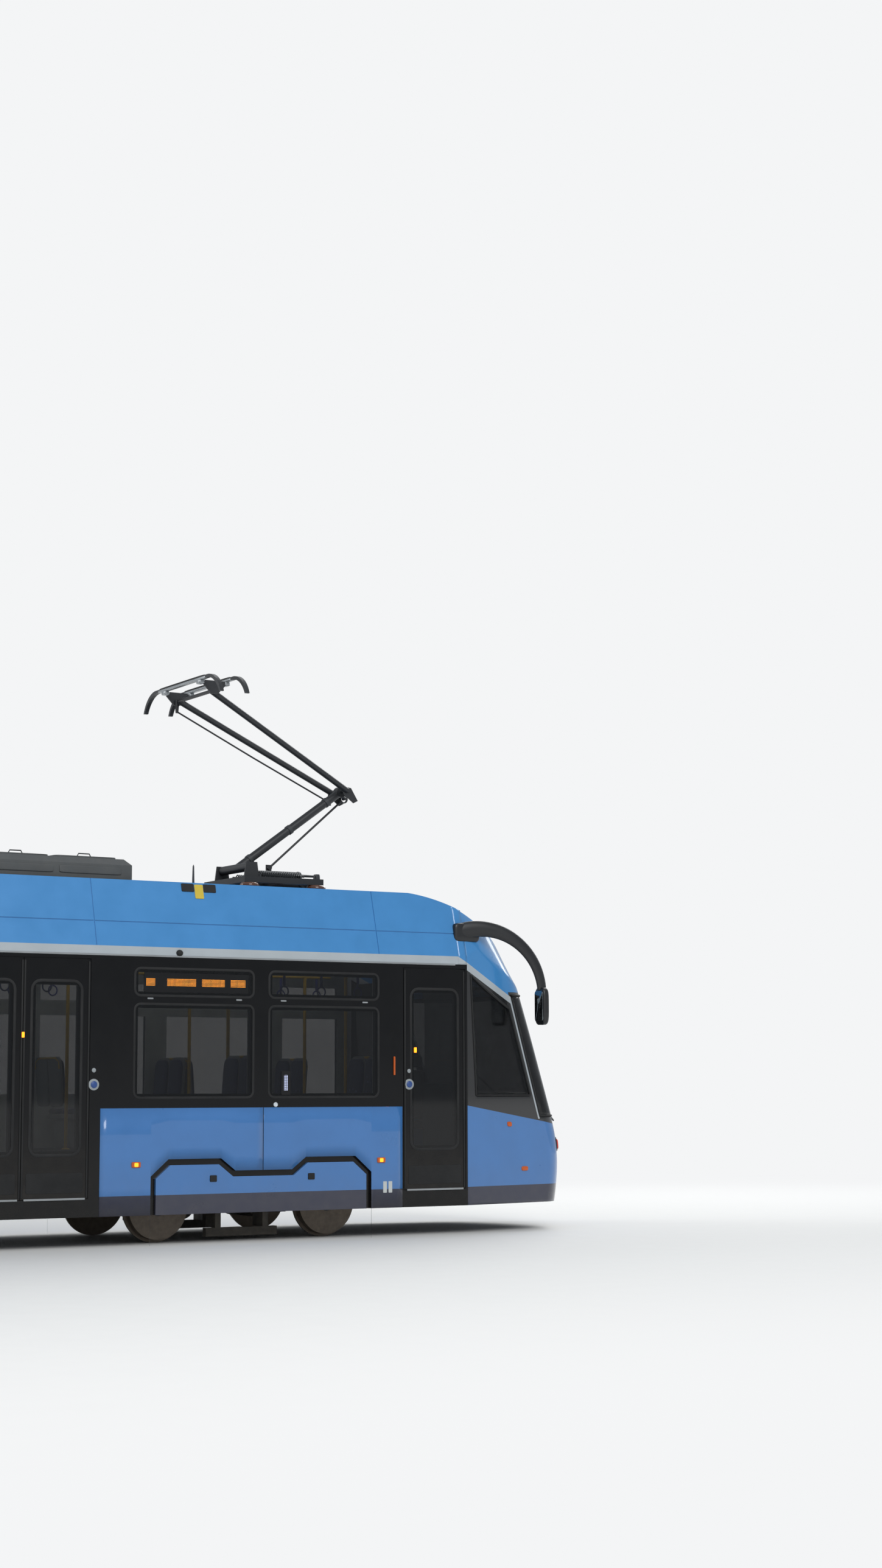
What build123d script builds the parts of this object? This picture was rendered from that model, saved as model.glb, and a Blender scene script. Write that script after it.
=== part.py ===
# Articulated low-floor tram in three sections, millimetres, X forward, Y left, Z up.
# z = 0 lies under the wheel flanges and X = 0 halfway along, so the rail head is one flange depth up.
# The front section is modelled once, and the rear one is its mirror image about X = 0.
import math
import os

from build123d import *

os.makedirs("parts", exist_ok=True)

# Overall
overall_length = 32000
body_width = 2400
flange_depth = 28
half_length = overall_length / 2
half_width = body_width / 2
rail = flange_depth

# Stations along the vehicle, back from the nose tip. They are drawn for the design length and stretch with
# the overall length, and the middle section's X values stretch with that section.
design_length = 32000
design_middle_end = 2970
stretch = overall_length / design_length
bogie_station = 3850
bogie_spacing = 7000
pivot_past_bogie = 1850
pivot_x = half_length - stretch * (bogie_station + bogie_spacing) - pivot_past_bogie
pivot_to_car_end = 330
car_end_x = pivot_x + pivot_to_car_end
middle_end_x = pivot_x - pivot_to_car_end
middle_stretch = middle_end_x / design_middle_end
nose_joint_station = 1570
cap_joint_station = 1675

# Heights
skirt_bottom = rail + 250
cant_rail_bottom = rail + 2630
fascia_bottom = rail + 2710
fascia_seam = rail + 2940
fascia_top = rail + 3340
floor_low = rail + 400
floor_high = rail + 600
podium_top = rail + 820
ceiling = rail + 2720
roof_deck = rail + 2840

# Body shell
wall = 60
fascia_lean = 170
fascia_thickness = 40
seam_width = 10
seam_depth = 8
fascia_seams = (2595, 5595, 8595, 11595)
floor_thickness = 60
inner_half_width = half_width - wall
glass_thickness = 8
glass_gap = 2
glass_lip = 25
door_leaf_thickness = 45
door_gap = 5
door_lip = 15
door_top = rail + 2580
threshold = rail + 420
door_glass_low = rail + 820
door_glass_high = rail + 2365
door_stile = 95

# Windows: lower pane and hopper over it
pane_low = rail + 1330
pane_high = rail + 2170
hopper_low = rail + 2270
hopper_high = rail + 2500

# Right side of an end section, stations back from the nose
right_windows = [  # start, end
    (2608, 3791),
    (3980, 5189),
    (7250, 8750),
    (8930, 10430),
    (10610, 12050),
]
right_doors = [  # start, end, leaves
    (1600, 2310, 1),
    (5645, 6945, 2),
]
left_windows = [  # start, end
    (1720, 2440),
    (2608, 3791),
    (3980, 5189),
    (5378, 7072),
    (7250, 8750),
    (8930, 10430),
    (10610, 12050),
]

# Middle section, X of each opening
middle_right_windows = [  # start, end
    (-2780, -1150),
    (1150, 2780),
]
middle_right_doors = [  # start, end, leaves
    (-650, 650, 2),
]
middle_left_windows = [  # start, end
    (-2780, -1150),
    (-970, 970),
    (1150, 2780),
]

# Removable covers in the skirt over each bogie
cover_half_length = 1172
cover_chamfer_start = 993
cover_step_start = 450
cover_step_end = 300
cover_side_height = rail + 600
cover_high = rail + 755
cover_low = rail + 640
cover_thickness = 30
cover_groove = 55
cover_lip = 40
cover_corner_share = 0.4

# Bogies and wheelsets
gauge = 1435
wheelbase = 1800
wheel_radius = 300
flange_radius = wheel_radius + flange_depth
axle_z = rail + wheel_radius
axle_radius = 60
running_gap = 0.3
back_to_back = 1384
wheel_width = 105
flange_thickness = 22
beam_outer_y = 600
beam_width = 110
axle_box_half = 110
beam_end_drop = 110
bolster_radius = 280
pivot_pin_radius = 50
pivot_pin_drop = 70
pivot_plate = 40
transom_half = 170
transom_bottom = rail + 280
transom_top = rail + 400
motor_radius = 135
motor_length = 620
motor_offset = 420
motor_drop = 10
gear_case_width = 110
gear_case_y = 350
track_brake_length = 760
track_brake_width = 70
track_brake_height = 80
track_brake_lift = 10
hanger_size = 60

# Wheel housings under the seats, clear of a bogie turned to its stop
housing_clearance = 142
housing_half_length = wheelbase / 2 + flange_radius + housing_clearance
housing_inner_y = 400
housing_skin = 20
step_margin = 130

# Articulation
gangway_radius = 750
gangway_gap = 10
gangway_drop = 6
knuckle_radius = 200
knuckle_pin_radius = 75
knuckle_bottom = rail + 400
knuckle_top = rail + 500
tongue_half_width = 190
tongue_root = 850
tongue_root_length = 200
portal_thickness = 80
portal_half_opening = 650
portal_header = rail + 2500
bellows_half_width = half_width - 120
bellows_thickness = 50
bellows_bottom = rail + 520
bellows_top = rail + 2690

# Nose: plan outlines with a front arc, two corner arcs and straight cheeks. Both arcs are stepped at the
# same angles at every height, so that each facet between two outlines is flat.
front_arc_angles = (0, 11, 22, 33)
corner_arc_angles = (48, 63)
cheek_taper = 11.5
corner_radius = 290
nose_sections = [  # height, tip station
    (skirt_bottom, 45),
    (rail + 620, 0),
    (rail + 760, 6),
    (rail + 1050, 54),
    (rail + 1860, 328),
    (rail + 2450, 543),
    (fascia_top, 870),
]
nose_wall = 60
roof_break_station = 2595
roof_knee_station = 1385
roof_knee = rail + 3090
roof_lip_station = 700
roof_lip = rail + 2450
visor_drop = 350
nose_overrun = 100
lean_inset_share = 0.3
knee_inset_share = 0.5
screen_thickness = 10
screen_gap = 0.3
screen_low = rail + 1120
screen_high = rail + 2340
screen_low_station = 575
screen_high_station = 975
sign_half_width = 620
sign_low = rail + 2440
sign_high = rail + 2700
cab_window = [  # station, height
    (1520, rail + 2530),
    (1010, rail + 2220),
    (715, rail + 1330),
    (1450, rail + 1330),
]
lamp_low = rail + 745
lamp_high = rail + 900
lamp_outer_y = half_width - 360
lamp_inner_y = half_width - 700

# Towing clevis behind an opening in the apron
clevis_pin_radius = 25
clevis_height = rail + 400
clevis_ear = 20
clevis_gap = 45
clevis_half_width = 60
clevis_station = 150
clevis_length = 620
clevis_root_station = 1450
apron_half_width = 160
apron_half_height = 75

# Roof equipment: boxes on an end section
roof_boxes = [  # start station, end station, half width, top
    (5100, 8000, half_width - 320, rail + 3550),
    (8350, 10250, half_width - 340, rail + 3420),
    (10500, 11900, half_width - 440, rail + 3300),
]
middle_roof_boxes = [  # start X, end X, half width, top
    (-2500, -200, half_width - 300, rail + 3480),
    (200, 2500, half_width - 340, rail + 3420),
]
box_chamfer = 60
box_foot_height = 40
box_foot_inset = 120

# Pantograph, folded out behind its knee
mast_station = 3550
mast_z = rail + 3600
knee_station = 2360
knee_z = rail + 4450
head_station = 4030
head_z = rail + 5320
strip_top = rail + 5445
mast_base_start = 2800
mast_base_end = 3690
mast_base_half_width = 420
mast_base_tube = 60
mast_base_z = rail + 3490
insulator_radius = 70
pivot_tube_radius = 45
pivot_tube_half = 300
lower_arm_radius = 42
upper_arm_radius = 31
upper_arm_foot_half = 150
upper_arm_head_half = 370
thrust_root_station = 3120
thrust_root_z = rail + 3640
tail_length = 120
thrust_y = 110
thrust_foot = 30
tail_clear = 17
eye_clear = 6
eye_play = 5
thrust_drift = 15
thrust_rod_radius = 11
strip_half_length = 600
strip_pitch = 280
strip_width = 40
strip_height = 30
horn_drop = 205
horn_reach = 280
horn_bend_share = 0.62
horn_bend_inner_share = 0.55
horn_bend_drop_share = 0.3
knee_pin_radius = 17
knee_eye_radius = 55
knee_eye_half = 45
small_pin_radius = 12
rod_eye_width = 24
plate = 16
head_pin_radius = 18
head_plate_y = 420
cylinder_radius = 40

# Mirror arms
mirror_arm_station = 1590
mirror_arm_root_z = rail + 3000
mirror_arm_reach = 890
mirror_arm_drop = 590
mirror_arm_splay = 15
mirror_arm_width = 75
mirror_arm_depth = 45
mirror_arm_bend_share = 0.62
mirror_arm_bend_drop_share = 0.1
mirror_height = 360
mirror_width = 190
mirror_depth = 95

# Interior
seat_cushion_height = 400
seat_back_height = 900
seat_depth = 380
seat_back_thickness = 55
seat_gap = 10
seat_width = 640
seat_lean = 60
seat_leg_inset = 60
podium_seat_y = half_width - 420
floor_seat_y = half_width - 400
podium_seats = [  # offset from the bogie centre to the back's foot, facing
    (-1325, 1),
    (-70, -1),
    (70, 1),
    (1325, -1),
]
floor_seats = [  # station of the back's foot, facing
    (7600, 1),
    (8350, 1),
    (9100, 1),
]
middle_seats = [  # X of the back's foot, facing
    (-2200, 1),
    (2200, -1),
]
pole_radius = 17
pole_y = half_width - 770
end_poles = [  # station, foot height
    (2530, podium_top),
    (3850, podium_top),
    (5170, podium_top),
    (7200, floor_low),
    (8700, floor_low),
    (9530, podium_top),
    (10850, podium_top),
    (12000, podium_top),
]
middle_poles = [  # X, foot height
    (-1900, floor_low),
    (-800, floor_low),
    (800, floor_low),
    (1900, floor_low),
]
middle_step = 500
cab_floor_front = 420
bulkhead_station = 1560
bulkhead_thickness = 40
bulkhead_door_half = 300
desk_front = 480
desk_depth = 330
desk_top = rail + 1150
desk_half_width = half_width - 600
desk_profile = [  # share of the desk's depth, drop below its top
    (0, 60),
    (0.4, 0),
    (1, 90),
    (1, 150),
]
desk_foot_share = 0.5
driver_seat_station = 1200
driver_seat_half_width = 240
driver_seat_back = 220
driver_seat_front = 230
driver_seat_low = 380
driver_seat_high = 480
driver_back_low = 430
driver_back_high = 1150
driver_back_thickness = 80
driver_column_radius = 70


def at(station):
    """X of a station drawn back from the nose tip."""
    return half_length - stretch * station


def write(builder, name):
    """Label a piece and write its file."""
    builder.part.label = name
    export_step(builder.part, f"parts/{name}.step")


def write_group(pieces, name, rear_name=None):
    """Write touching solids as one file without fusing them, and their mirror image if it has a name."""
    group = Compound(pieces)
    group.label = name
    export_step(group, f"parts/{name}.step")
    if rear_name:
        write_group([mirror(piece, about=Plane.YZ) for piece in pieces], rear_name)


def write_rear(builder, name):
    """Write the rear section's copy of a piece, mirrored about the middle of the vehicle."""
    with BuildPart() as rear:
        add(builder.part)
        mirror(about=Plane.YZ, mode=Mode.REPLACE)
    write(rear, name)


def side_plane(side, depth=0):
    """Plane parallel to a side wall, `depth` inside its outer face; side is 1 left, -1 right."""
    return Plane.XZ.offset(-side * (half_width - depth))


def panel_cut(side, outline, depth, start=0):
    """Extrude a rectangle (x0, x1, z0, z1) inward from a side's outer face."""
    x0, x1, z0, z1 = outline
    with BuildSketch(side_plane(side, start)) as cut:
        with Locations(((x0 + x1) / 2, (z0 + z1) / 2)):
            Rectangle(x1 - x0, z1 - z0)
    return extrude(cut.sketch, amount=side * depth, mode=Mode.PRIVATE)


def grown(outline, margin):
    """Rectangle moved outward by a margin on each side."""
    x0, x1, z0, z1 = outline
    return (x0 - margin, x1 + margin, z0 - margin, z1 + margin)


def window_panes(windows):
    """Glass rectangles of a row of windows: each has a lower pane and a hopper."""
    panes = []
    for x0, x1 in windows:
        panes.append((x0, x1, pane_low, pane_high))
        panes.append((x0, x1, hopper_low, hopper_high))
    return panes


def door_leaves(doors):
    """Leaf rectangles of a row of doors."""
    leaves = []
    for x0, x1, count in doors:
        width = (x1 - x0 - (count - 1) * door_gap) / count
        for index in range(count):
            start = x0 + index * (width + door_gap)
            leaves.append((start, start + width, threshold, door_top))
    return leaves


def leaf_glass(leaf):
    """Glass rectangle inside a door leaf."""
    x0, x1, z0, z1 = leaf
    return (x0 + door_stile, x1 - door_stile, door_glass_low, door_glass_high)


def cover_outline(x_centre, inset):
    """Half-symmetric outline of a bogie cover, moved inward by an inset except at its open bottom."""
    corner = inset * cover_corner_share
    right = [
        (cover_half_length - inset, skirt_bottom),
        (cover_half_length - inset, cover_side_height - corner),
        (cover_chamfer_start - corner, cover_high - inset),
        (cover_step_start + corner, cover_high - inset),
        (cover_step_end + corner, cover_low - inset),
    ]
    left = [(-x, z) for x, z in reversed(right)]
    return [(x_centre + x, z) for x, z in right + left]


def stations_to_x(rows):
    """Turn rows that start with two stations into rows that start with two growing X values."""
    return [(at(row[1]), at(row[0]), *row[2:]) for row in rows]


def middle_to_x(rows):
    """Stretch rows that start with two X values of the middle section."""
    return [(row[0] * middle_stretch, row[1] * middle_stretch, *row[2:]) for row in rows]


def wall_piece(side, x0, x1, windows, doors, covers):
    """One side wall between x0 and x1, with its rebated windows, doors and cover openings."""
    with BuildPart() as piece:
        add(panel_cut(side, (x0, x1, skirt_bottom, cant_rail_bottom), wall))
        for pane in window_panes(windows):
            add(panel_cut(side, grown(pane, glass_gap), glass_thickness), mode=Mode.SUBTRACT)
            add(panel_cut(side, grown(pane, -glass_lip), wall), mode=Mode.SUBTRACT)
        for x_start, x_end, _ in doors:
            opening = (x_start, x_end, threshold, door_top)
            add(panel_cut(side, grown(opening, door_gap), door_leaf_thickness), mode=Mode.SUBTRACT)
            add(panel_cut(side, grown(opening, -door_lip), wall), mode=Mode.SUBTRACT)
        for x_centre in covers:
            for inset, depth in ((0, cover_thickness), (cover_groove + cover_lip, wall)):
                with BuildSketch(side_plane(side)):
                    with BuildLine():
                        Polyline(*cover_outline(x_centre, inset), close=True)
                    make_face()
                extrude(amount=side * depth, mode=Mode.SUBTRACT)
    return piece


def glazing_piece(right_rows, left_rows, leaves):
    """All flat panes of a section, window panes on both sides and door panes on the right."""
    with BuildPart() as piece:
        for side, rows in ((-1, right_rows), (1, left_rows)):
            for pane in window_panes(rows):
                add(panel_cut(side, pane, glass_thickness))
        for leaf in leaves:
            add(panel_cut(-1, leaf_glass(leaf), glass_thickness))
    return piece


def door_piece(leaves):
    """Door leaves with their panes' openings."""
    with BuildPart() as piece:
        for leaf in leaves:
            add(panel_cut(-1, leaf, door_leaf_thickness))
            add(panel_cut(-1, grown(leaf_glass(leaf), glass_gap), glass_thickness), mode=Mode.SUBTRACT)
            add(panel_cut(-1, grown(leaf_glass(leaf), -glass_lip), wall), mode=Mode.SUBTRACT)
    return piece


def roof_piece(x0, x1, seams):
    """Roof deck with its leaning fascias, each with a lengthwise seam and upright ones at the given X."""
    lean_slope = fascia_lean / (fascia_top - fascia_bottom)
    deck_edge = half_width - fascia_thickness - (roof_deck - fascia_bottom) * lean_slope
    with BuildPart() as piece:
        with BuildSketch(Plane.YZ.offset(x0)):
            with BuildLine():
                Polyline(
                    (0, ceiling),
                    (inner_half_width - wall, ceiling),
                    (inner_half_width, cant_rail_bottom),
                    (half_width, cant_rail_bottom),
                    (half_width, fascia_bottom),
                    (half_width - fascia_lean, fascia_top),
                    (half_width - fascia_lean - fascia_thickness, fascia_top),
                    (deck_edge, roof_deck),
                    (0, roof_deck),
                    close=True,
                )
            make_face()
            mirror(about=Plane.YZ)
        extrude(amount=x1 - x0)
        for x_seam in seams:
            with BuildSketch(Plane.YZ.offset(x_seam)):
                with BuildLine():
                    Polyline(
                        (half_width - seam_depth, fascia_bottom),
                        (half_width, fascia_bottom),
                        (half_width - fascia_lean, fascia_top),
                        (half_width - fascia_lean - seam_depth, fascia_top),
                        close=True,
                    )
                make_face()
                mirror(about=Plane.YZ)
            extrude(amount=seam_width, mode=Mode.SUBTRACT)
        seam_y = half_width - (fascia_seam - fascia_bottom) * lean_slope
        for side in (-1, 1):
            with BuildSketch(Plane.YZ.offset(x0)):
                with Locations((side * seam_y, fascia_seam)):
                    Rectangle(2 * seam_depth, seam_width)
            extrude(amount=x1 - x0, mode=Mode.SUBTRACT)
    return piece


# Side walls of the end sections
wall_front_x = at(nose_joint_station)
front_right_windows = stations_to_x(right_windows)
front_right_doors = stations_to_x(right_doors)
front_left_windows = stations_to_x(left_windows)
bogie_xs = [at(bogie_station), at(bogie_station + bogie_spacing)]
front_leaves = door_leaves(front_right_doors)

right_wall = wall_piece(-1, car_end_x, wall_front_x, front_right_windows, front_right_doors, bogie_xs)
write(right_wall, "front_side_right")
write_rear(right_wall, "rear_side_right")

left_wall = wall_piece(1, car_end_x, wall_front_x, front_left_windows, [], bogie_xs)
write(left_wall, "front_side_left")
write_rear(left_wall, "rear_side_left")

front_doors = door_piece(front_leaves)
write(front_doors, "front_doors")
write_rear(front_doors, "rear_doors")

# Bogie covers
with BuildPart() as covers:
    for side in (-1, 1):
        for x_centre in bogie_xs:
            with BuildSketch(side_plane(side)):
                with BuildLine():
                    Polyline(*cover_outline(x_centre, cover_groove), close=True)
                make_face()
            extrude(amount=side * cover_thickness)
write(covers, "front_bogie_covers")
write_rear(covers, "rear_bogie_covers")

# Roofs
def roof_line(inset):
    """Side view of the roof over the nose: an arc that falls to the lip, then a straight visor."""
    break_point = (at(roof_break_station) - inset * lean_inset_share, fascia_top - inset)
    knee_point = (at(roof_knee_station) - inset * knee_inset_share, roof_knee - inset)
    lip_point = (at(roof_lip_station) - inset, roof_lip)
    ThreePointArc(break_point, knee_point, lip_point)
    Line(lip_point, (half_length, roof_lip - visor_drop))
    return break_point


with BuildPart() as front_roof:
    add(roof_piece(car_end_x, at(cap_joint_station), [at(station) for station in fascia_seams]).part)
    with BuildSketch(Plane.XZ.offset(-half_width)):
        with BuildLine():
            roof_start = roof_line(0)
            Polyline((half_length, roof_lip - visor_drop), (half_length, fascia_top + nose_overrun),
                     (roof_start[0], fascia_top + nose_overrun), roof_start)
        make_face()
    extrude(amount=body_width, mode=Mode.SUBTRACT)
write(front_roof, "front_roof")
write_rear(front_roof, "rear_roof")
middle_roof = roof_piece(-middle_end_x, middle_end_x, [])
write(middle_roof, "middle_roof")

# Middle section's walls, doors and glass
right_rows = middle_to_x(middle_right_windows)
left_rows = middle_to_x(middle_left_windows)
door_rows = middle_to_x(middle_right_doors)
middle_right = wall_piece(-1, -middle_end_x, middle_end_x, right_rows, door_rows, [])
write(middle_right, "middle_side_right")
middle_left = wall_piece(1, -middle_end_x, middle_end_x, left_rows, [], [])
write(middle_left, "middle_side_left")
middle_leaves = door_leaves(door_rows)
middle_doors = door_piece(middle_leaves)
write(middle_doors, "middle_doors")
middle_glazing = glazing_piece(right_rows, left_rows, middle_leaves)
write(middle_glazing, "middle_glazing")


def nose_outline(tip_station, inset):
    """Left half of a plan outline from the centre line: front arc, corner arc, cheek and rear edge."""
    front = math.radians(front_arc_angles[-1])
    slope = math.radians(cheek_taper)
    tip_x = at(tip_station)
    reach = tip_x - corner_radius * (math.cos(front) - math.sin(slope)) - wall_front_x
    spread = half_width - reach * math.tan(slope)
    spread += corner_radius * (math.sin(front) - math.cos(slope))
    front_radius = spread / (math.sin(front) - (1 - math.cos(front)) * math.tan(slope))
    front_centre = tip_x - front_radius
    corner_centre = front_centre + (front_radius - corner_radius) * math.cos(front)
    corner_y = (front_radius - corner_radius) * math.sin(front)
    points = []
    for angle in map(math.radians, front_arc_angles):
        radius = front_radius - inset
        points.append((front_centre + radius * math.cos(angle), radius * math.sin(angle)))
    for angle in map(math.radians, (*corner_arc_angles, 90 - cheek_taper)):
        radius = corner_radius - inset
        points.append((corner_centre + radius * math.cos(angle), corner_y + radius * math.sin(angle)))
    cheek_y = half_width - inset / math.cos(slope)
    return points + [(wall_front_x, cheek_y), (at(cap_joint_station), cheek_y)]


def mirrored(points):
    """Points reflected to the other side of the centre line, in reverse order."""
    return [(x, -y) for x, y in reversed(points)]


def nose_body(inset):
    """Nose as a solid: plan outlines ruled upward, trimmed by the body's section and by the roof line."""
    side = half_width - inset
    shoulder = fascia_bottom - inset * lean_inset_share
    top = fascia_top - inset
    cap_x = at(cap_joint_station)
    with BuildPart() as piece:
        for height, tip_station in nose_sections:
            outline = nose_outline(tip_station, inset)
            with BuildSketch(Plane.XY.offset(height)):
                with BuildLine():
                    Polyline(*outline, *mirrored(outline)[:-1], close=True)
                make_face()
        loft(ruled=True)
        with BuildSketch(Plane.YZ.offset(cap_x)):
            with BuildLine():
                Polyline(
                    (-side, skirt_bottom),
                    (-side, shoulder),
                    (-side + fascia_lean, top),
                    (side - fascia_lean, top),
                    (side, shoulder),
                    (side, skirt_bottom),
                    close=True,
                )
            make_face()
        extrude(amount=half_length - cap_x + nose_overrun, mode=Mode.INTERSECT)
        with BuildSketch(Plane.XZ.offset(-half_width)):
            with BuildLine():
                roof_start = roof_line(inset)
                Polyline((half_length, roof_lip - visor_drop), (half_length, skirt_bottom),
                         (roof_start[0], skirt_bottom), roof_start)
            make_face()
        extrude(amount=body_width, mode=Mode.INTERSECT)
    return piece


def front_prism(z_low, z_high, y_low, y_high, margin):
    """Forward prism between two heights and two Y values, moved inward by a margin."""
    with BuildPart() as piece:
        with BuildSketch(Plane.YZ.offset(at(cap_joint_station))):
            with Locations(((y_low + y_high) / 2, (z_low + z_high) / 2)):
                Rectangle(y_high - y_low - 2 * margin, z_high - z_low - 2 * margin)
        extrude(amount=half_length - at(cap_joint_station))
    return piece.part


def side_prism(points, margin):
    """Prism across the whole width with an outline in X and Z, moved inward by a margin."""
    with BuildPart() as piece:
        with BuildSketch(Plane.XZ.offset(-half_width)):
            with BuildLine():
                Polyline(*points, close=True)
            make_face()
            if margin:
                offset(amount=-margin, kind=Kind.INTERSECTION, mode=Mode.REPLACE)
        extrude(amount=body_width)
    return piece.part


def nose_openings(margin):
    """Prisms of the windscreen, the sign window and the cab's side windows."""
    screen = [
        (at(screen_high_station), screen_high),
        (half_length + nose_overrun, screen_high),
        (half_length + nose_overrun, screen_low),
        (at(screen_low_station), screen_low),
    ]
    cab_side = [(at(station), height) for station, height in cab_window]
    return [
        side_prism(screen, margin),
        front_prism(sign_low, sign_high, -sign_half_width, sign_half_width, margin),
        side_prism(cab_side, margin),
    ]


def lamp_prisms(margin):
    """Prisms of the two lamp units."""
    return [
        front_prism(lamp_low, lamp_high, lamp_inner_y, lamp_outer_y, margin),
        front_prism(lamp_low, lamp_high, -lamp_outer_y, -lamp_inner_y, margin),
    ]


nose_outer = nose_body(0).part
nose_inner = nose_body(nose_wall).part
nose_skin = nose_body(screen_thickness).part

with BuildPart() as cavity:
    add(nose_inner)
    split(bisect_by=Plane.XY.offset(ceiling), keep=Keep.BOTTOM)

with BuildPart() as nose:
    add(nose_outer)
    add(cavity.part, mode=Mode.SUBTRACT)
    with BuildSketch(Plane.XZ.offset(-half_width)):
        with Locations((at(cap_joint_station), (skirt_bottom + fascia_bottom) / 2)):
            Rectangle(2 * (wall_front_x - at(cap_joint_station)), fascia_bottom - skirt_bottom)
    extrude(amount=body_width, mode=Mode.SUBTRACT)
    for prism in nose_openings(0) + lamp_prisms(0):
        add(prism, mode=Mode.SUBTRACT)
    with BuildSketch(Plane.YZ.offset(at(clevis_length))):
        with Locations((0, clevis_height)):
            Rectangle(2 * apron_half_width, 2 * apron_half_height)
    extrude(amount=half_length - at(clevis_length), mode=Mode.SUBTRACT)
write(nose, "front_nose")
write_rear(nose, "rear_nose")

with BuildPart() as glazing:
    with BuildPart(mode=Mode.PRIVATE) as screen_layer:
        add(nose_outer)
        add(nose_skin, mode=Mode.SUBTRACT)
    for prism in nose_openings(screen_gap):
        add(screen_layer.part & prism)
    add(glazing_piece(front_right_windows, front_left_windows, front_leaves).part)
write(glazing, "front_glazing")
write_rear(glazing, "rear_glazing")

with BuildPart() as lamps:
    with BuildPart(mode=Mode.PRIVATE) as lamp_layer:
        add(nose_outer)
        add(nose_inner, mode=Mode.SUBTRACT)
    for prism in lamp_prisms(screen_gap):
        add(lamp_layer.part & prism)
write(lamps, "front_lamps")
write_rear(lamps, "rear_lamps")


def box(x_span, y_span, z_span):
    """Block between two values on each axis."""
    with BuildPart() as piece:
        with BuildSketch(Plane.XY.offset(z_span[0])):
            with Locations(((x_span[0] + x_span[1]) / 2, (y_span[0] + y_span[1]) / 2)):
                Rectangle(x_span[1] - x_span[0], y_span[1] - y_span[0])
        extrude(amount=z_span[1] - z_span[0])
    return piece.part


def upright(x, y, radius, z_low, z_high):
    """Vertical cylinder."""
    with BuildPart() as piece:
        with BuildSketch(Plane.XY.offset(z_low)):
            with Locations((x, y)):
                Circle(radius)
        extrude(amount=z_high - z_low)
    return piece.part


def crosswise(x, z, radius, y_low, y_high):
    """Cylinder across the vehicle."""
    with BuildPart() as piece:
        with BuildSketch(Plane.XZ.offset(-y_low)):
            with Locations((x, z)):
                Circle(radius)
        extrude(amount=y_low - y_high)
    return piece.part


def strut(start, end, radius):
    """Round bar between two points."""
    with BuildPart() as piece:
        with BuildLine():
            bar = Line(start, end)
        with BuildSketch(Plane(origin=start, z_dir=bar % 0)):
            Circle(radius)
        sweep()
    return piece.part


# Underframes: stepped floor, wheel housings, pivot plates and the end portal. Each floor slab and riser is
# a block of its own that touches its neighbours.
slab_underside = floor_high - floor_thickness
plate_bottom = slab_underside - pivot_plate
gangway_top = floor_high - gangway_drop
cab_width = (-inner_half_width, inner_half_width)
housing_shell = housing_half_length + housing_skin
bogie_zone = housing_half_length + step_margin
aisle_half = housing_inner_y - housing_skin
gangway_hole = upright(pivot_x, 0, gangway_radius + gangway_gap, slab_underside, floor_high)
front_floor_rows = [  # start X, end X, top
    (bogie_xs[1] + housing_shell, bogie_xs[1] + bogie_zone, floor_high),
    (bogie_xs[1] + bogie_zone, bogie_xs[0] - bogie_zone, floor_low),
    (bogie_xs[0] - bogie_zone, bogie_xs[0] - housing_shell, floor_high),
    (bogie_xs[0] + housing_shell, bogie_xs[0] + bogie_zone, floor_high),
    (bogie_xs[0] + bogie_zone, wall_front_x, floor_low),
]


def floor_blocks(rows):
    """Slabs of a stepped floor and a riser at each step; rows are (x0, x1, top)."""
    blocks = [box((x0, x1), cab_width, (top - floor_thickness, top)) for x0, x1, top in rows]
    for (_, x1, top), (x2, _, next_top) in zip(rows, rows[1:]):
        if top != next_top:
            riser_x = x1 if top < next_top else x2 - floor_thickness
            blocks.append(box((riser_x, riser_x + floor_thickness), cab_width,
                              (floor_low - floor_thickness, slab_underside)))
    return blocks


def end_portal(x_face, direction):
    """Frame round the gangway, one plate thick from a car's end face inward."""
    with BuildPart() as piece:
        with BuildSketch(Plane.YZ.offset(x_face)):
            with BuildLine():
                Polyline(
                    (portal_half_opening, floor_high),
                    (inner_half_width, floor_high),
                    (inner_half_width, cant_rail_bottom),
                    (inner_half_width - wall, ceiling),
                    (0, ceiling),
                    (0, portal_header),
                    (portal_half_opening, portal_header),
                    close=True,
                )
            make_face()
            mirror(about=Plane.YZ)
        extrude(amount=direction * portal_thickness)
    return piece.part


def wheel_housing(x_bogie, side):
    """Box over the wheels of one side of a bogie, open below."""
    outer_y = sorted((side * aisle_half, side * inner_half_width))
    inner_y = sorted((side * housing_inner_y, side * (inner_half_width - housing_skin)))
    with BuildPart() as piece:
        add(box((x_bogie - housing_shell, x_bogie + housing_shell), outer_y, (slab_underside, podium_top)))
        add(box((x_bogie - housing_half_length, x_bogie + housing_half_length), inner_y,
                (slab_underside, podium_top - housing_skin)), mode=Mode.SUBTRACT)
        add(gangway_hole, mode=Mode.SUBTRACT)
    return piece.part


def pivot_plate_piece(x_bogie):
    """Round plate under the floor with the pin that a bogie turns on."""
    with BuildPart() as piece:
        add(upright(x_bogie, 0, bolster_radius, plate_bottom, slab_underside))
        add(upright(x_bogie, 0, pivot_pin_radius, plate_bottom - pivot_pin_drop, plate_bottom))
    return piece.part


with BuildPart() as end_floor:
    add(box((car_end_x, bogie_xs[1] - housing_shell), cab_width, (slab_underside, floor_high)))
    add(gangway_hole, mode=Mode.SUBTRACT)

with BuildPart() as rear_aisle:
    add(box((bogie_xs[1] - housing_shell, bogie_xs[1] + housing_shell), (-aisle_half, aisle_half),
            (slab_underside, floor_high)))
    add(gangway_hole, mode=Mode.SUBTRACT)

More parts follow.
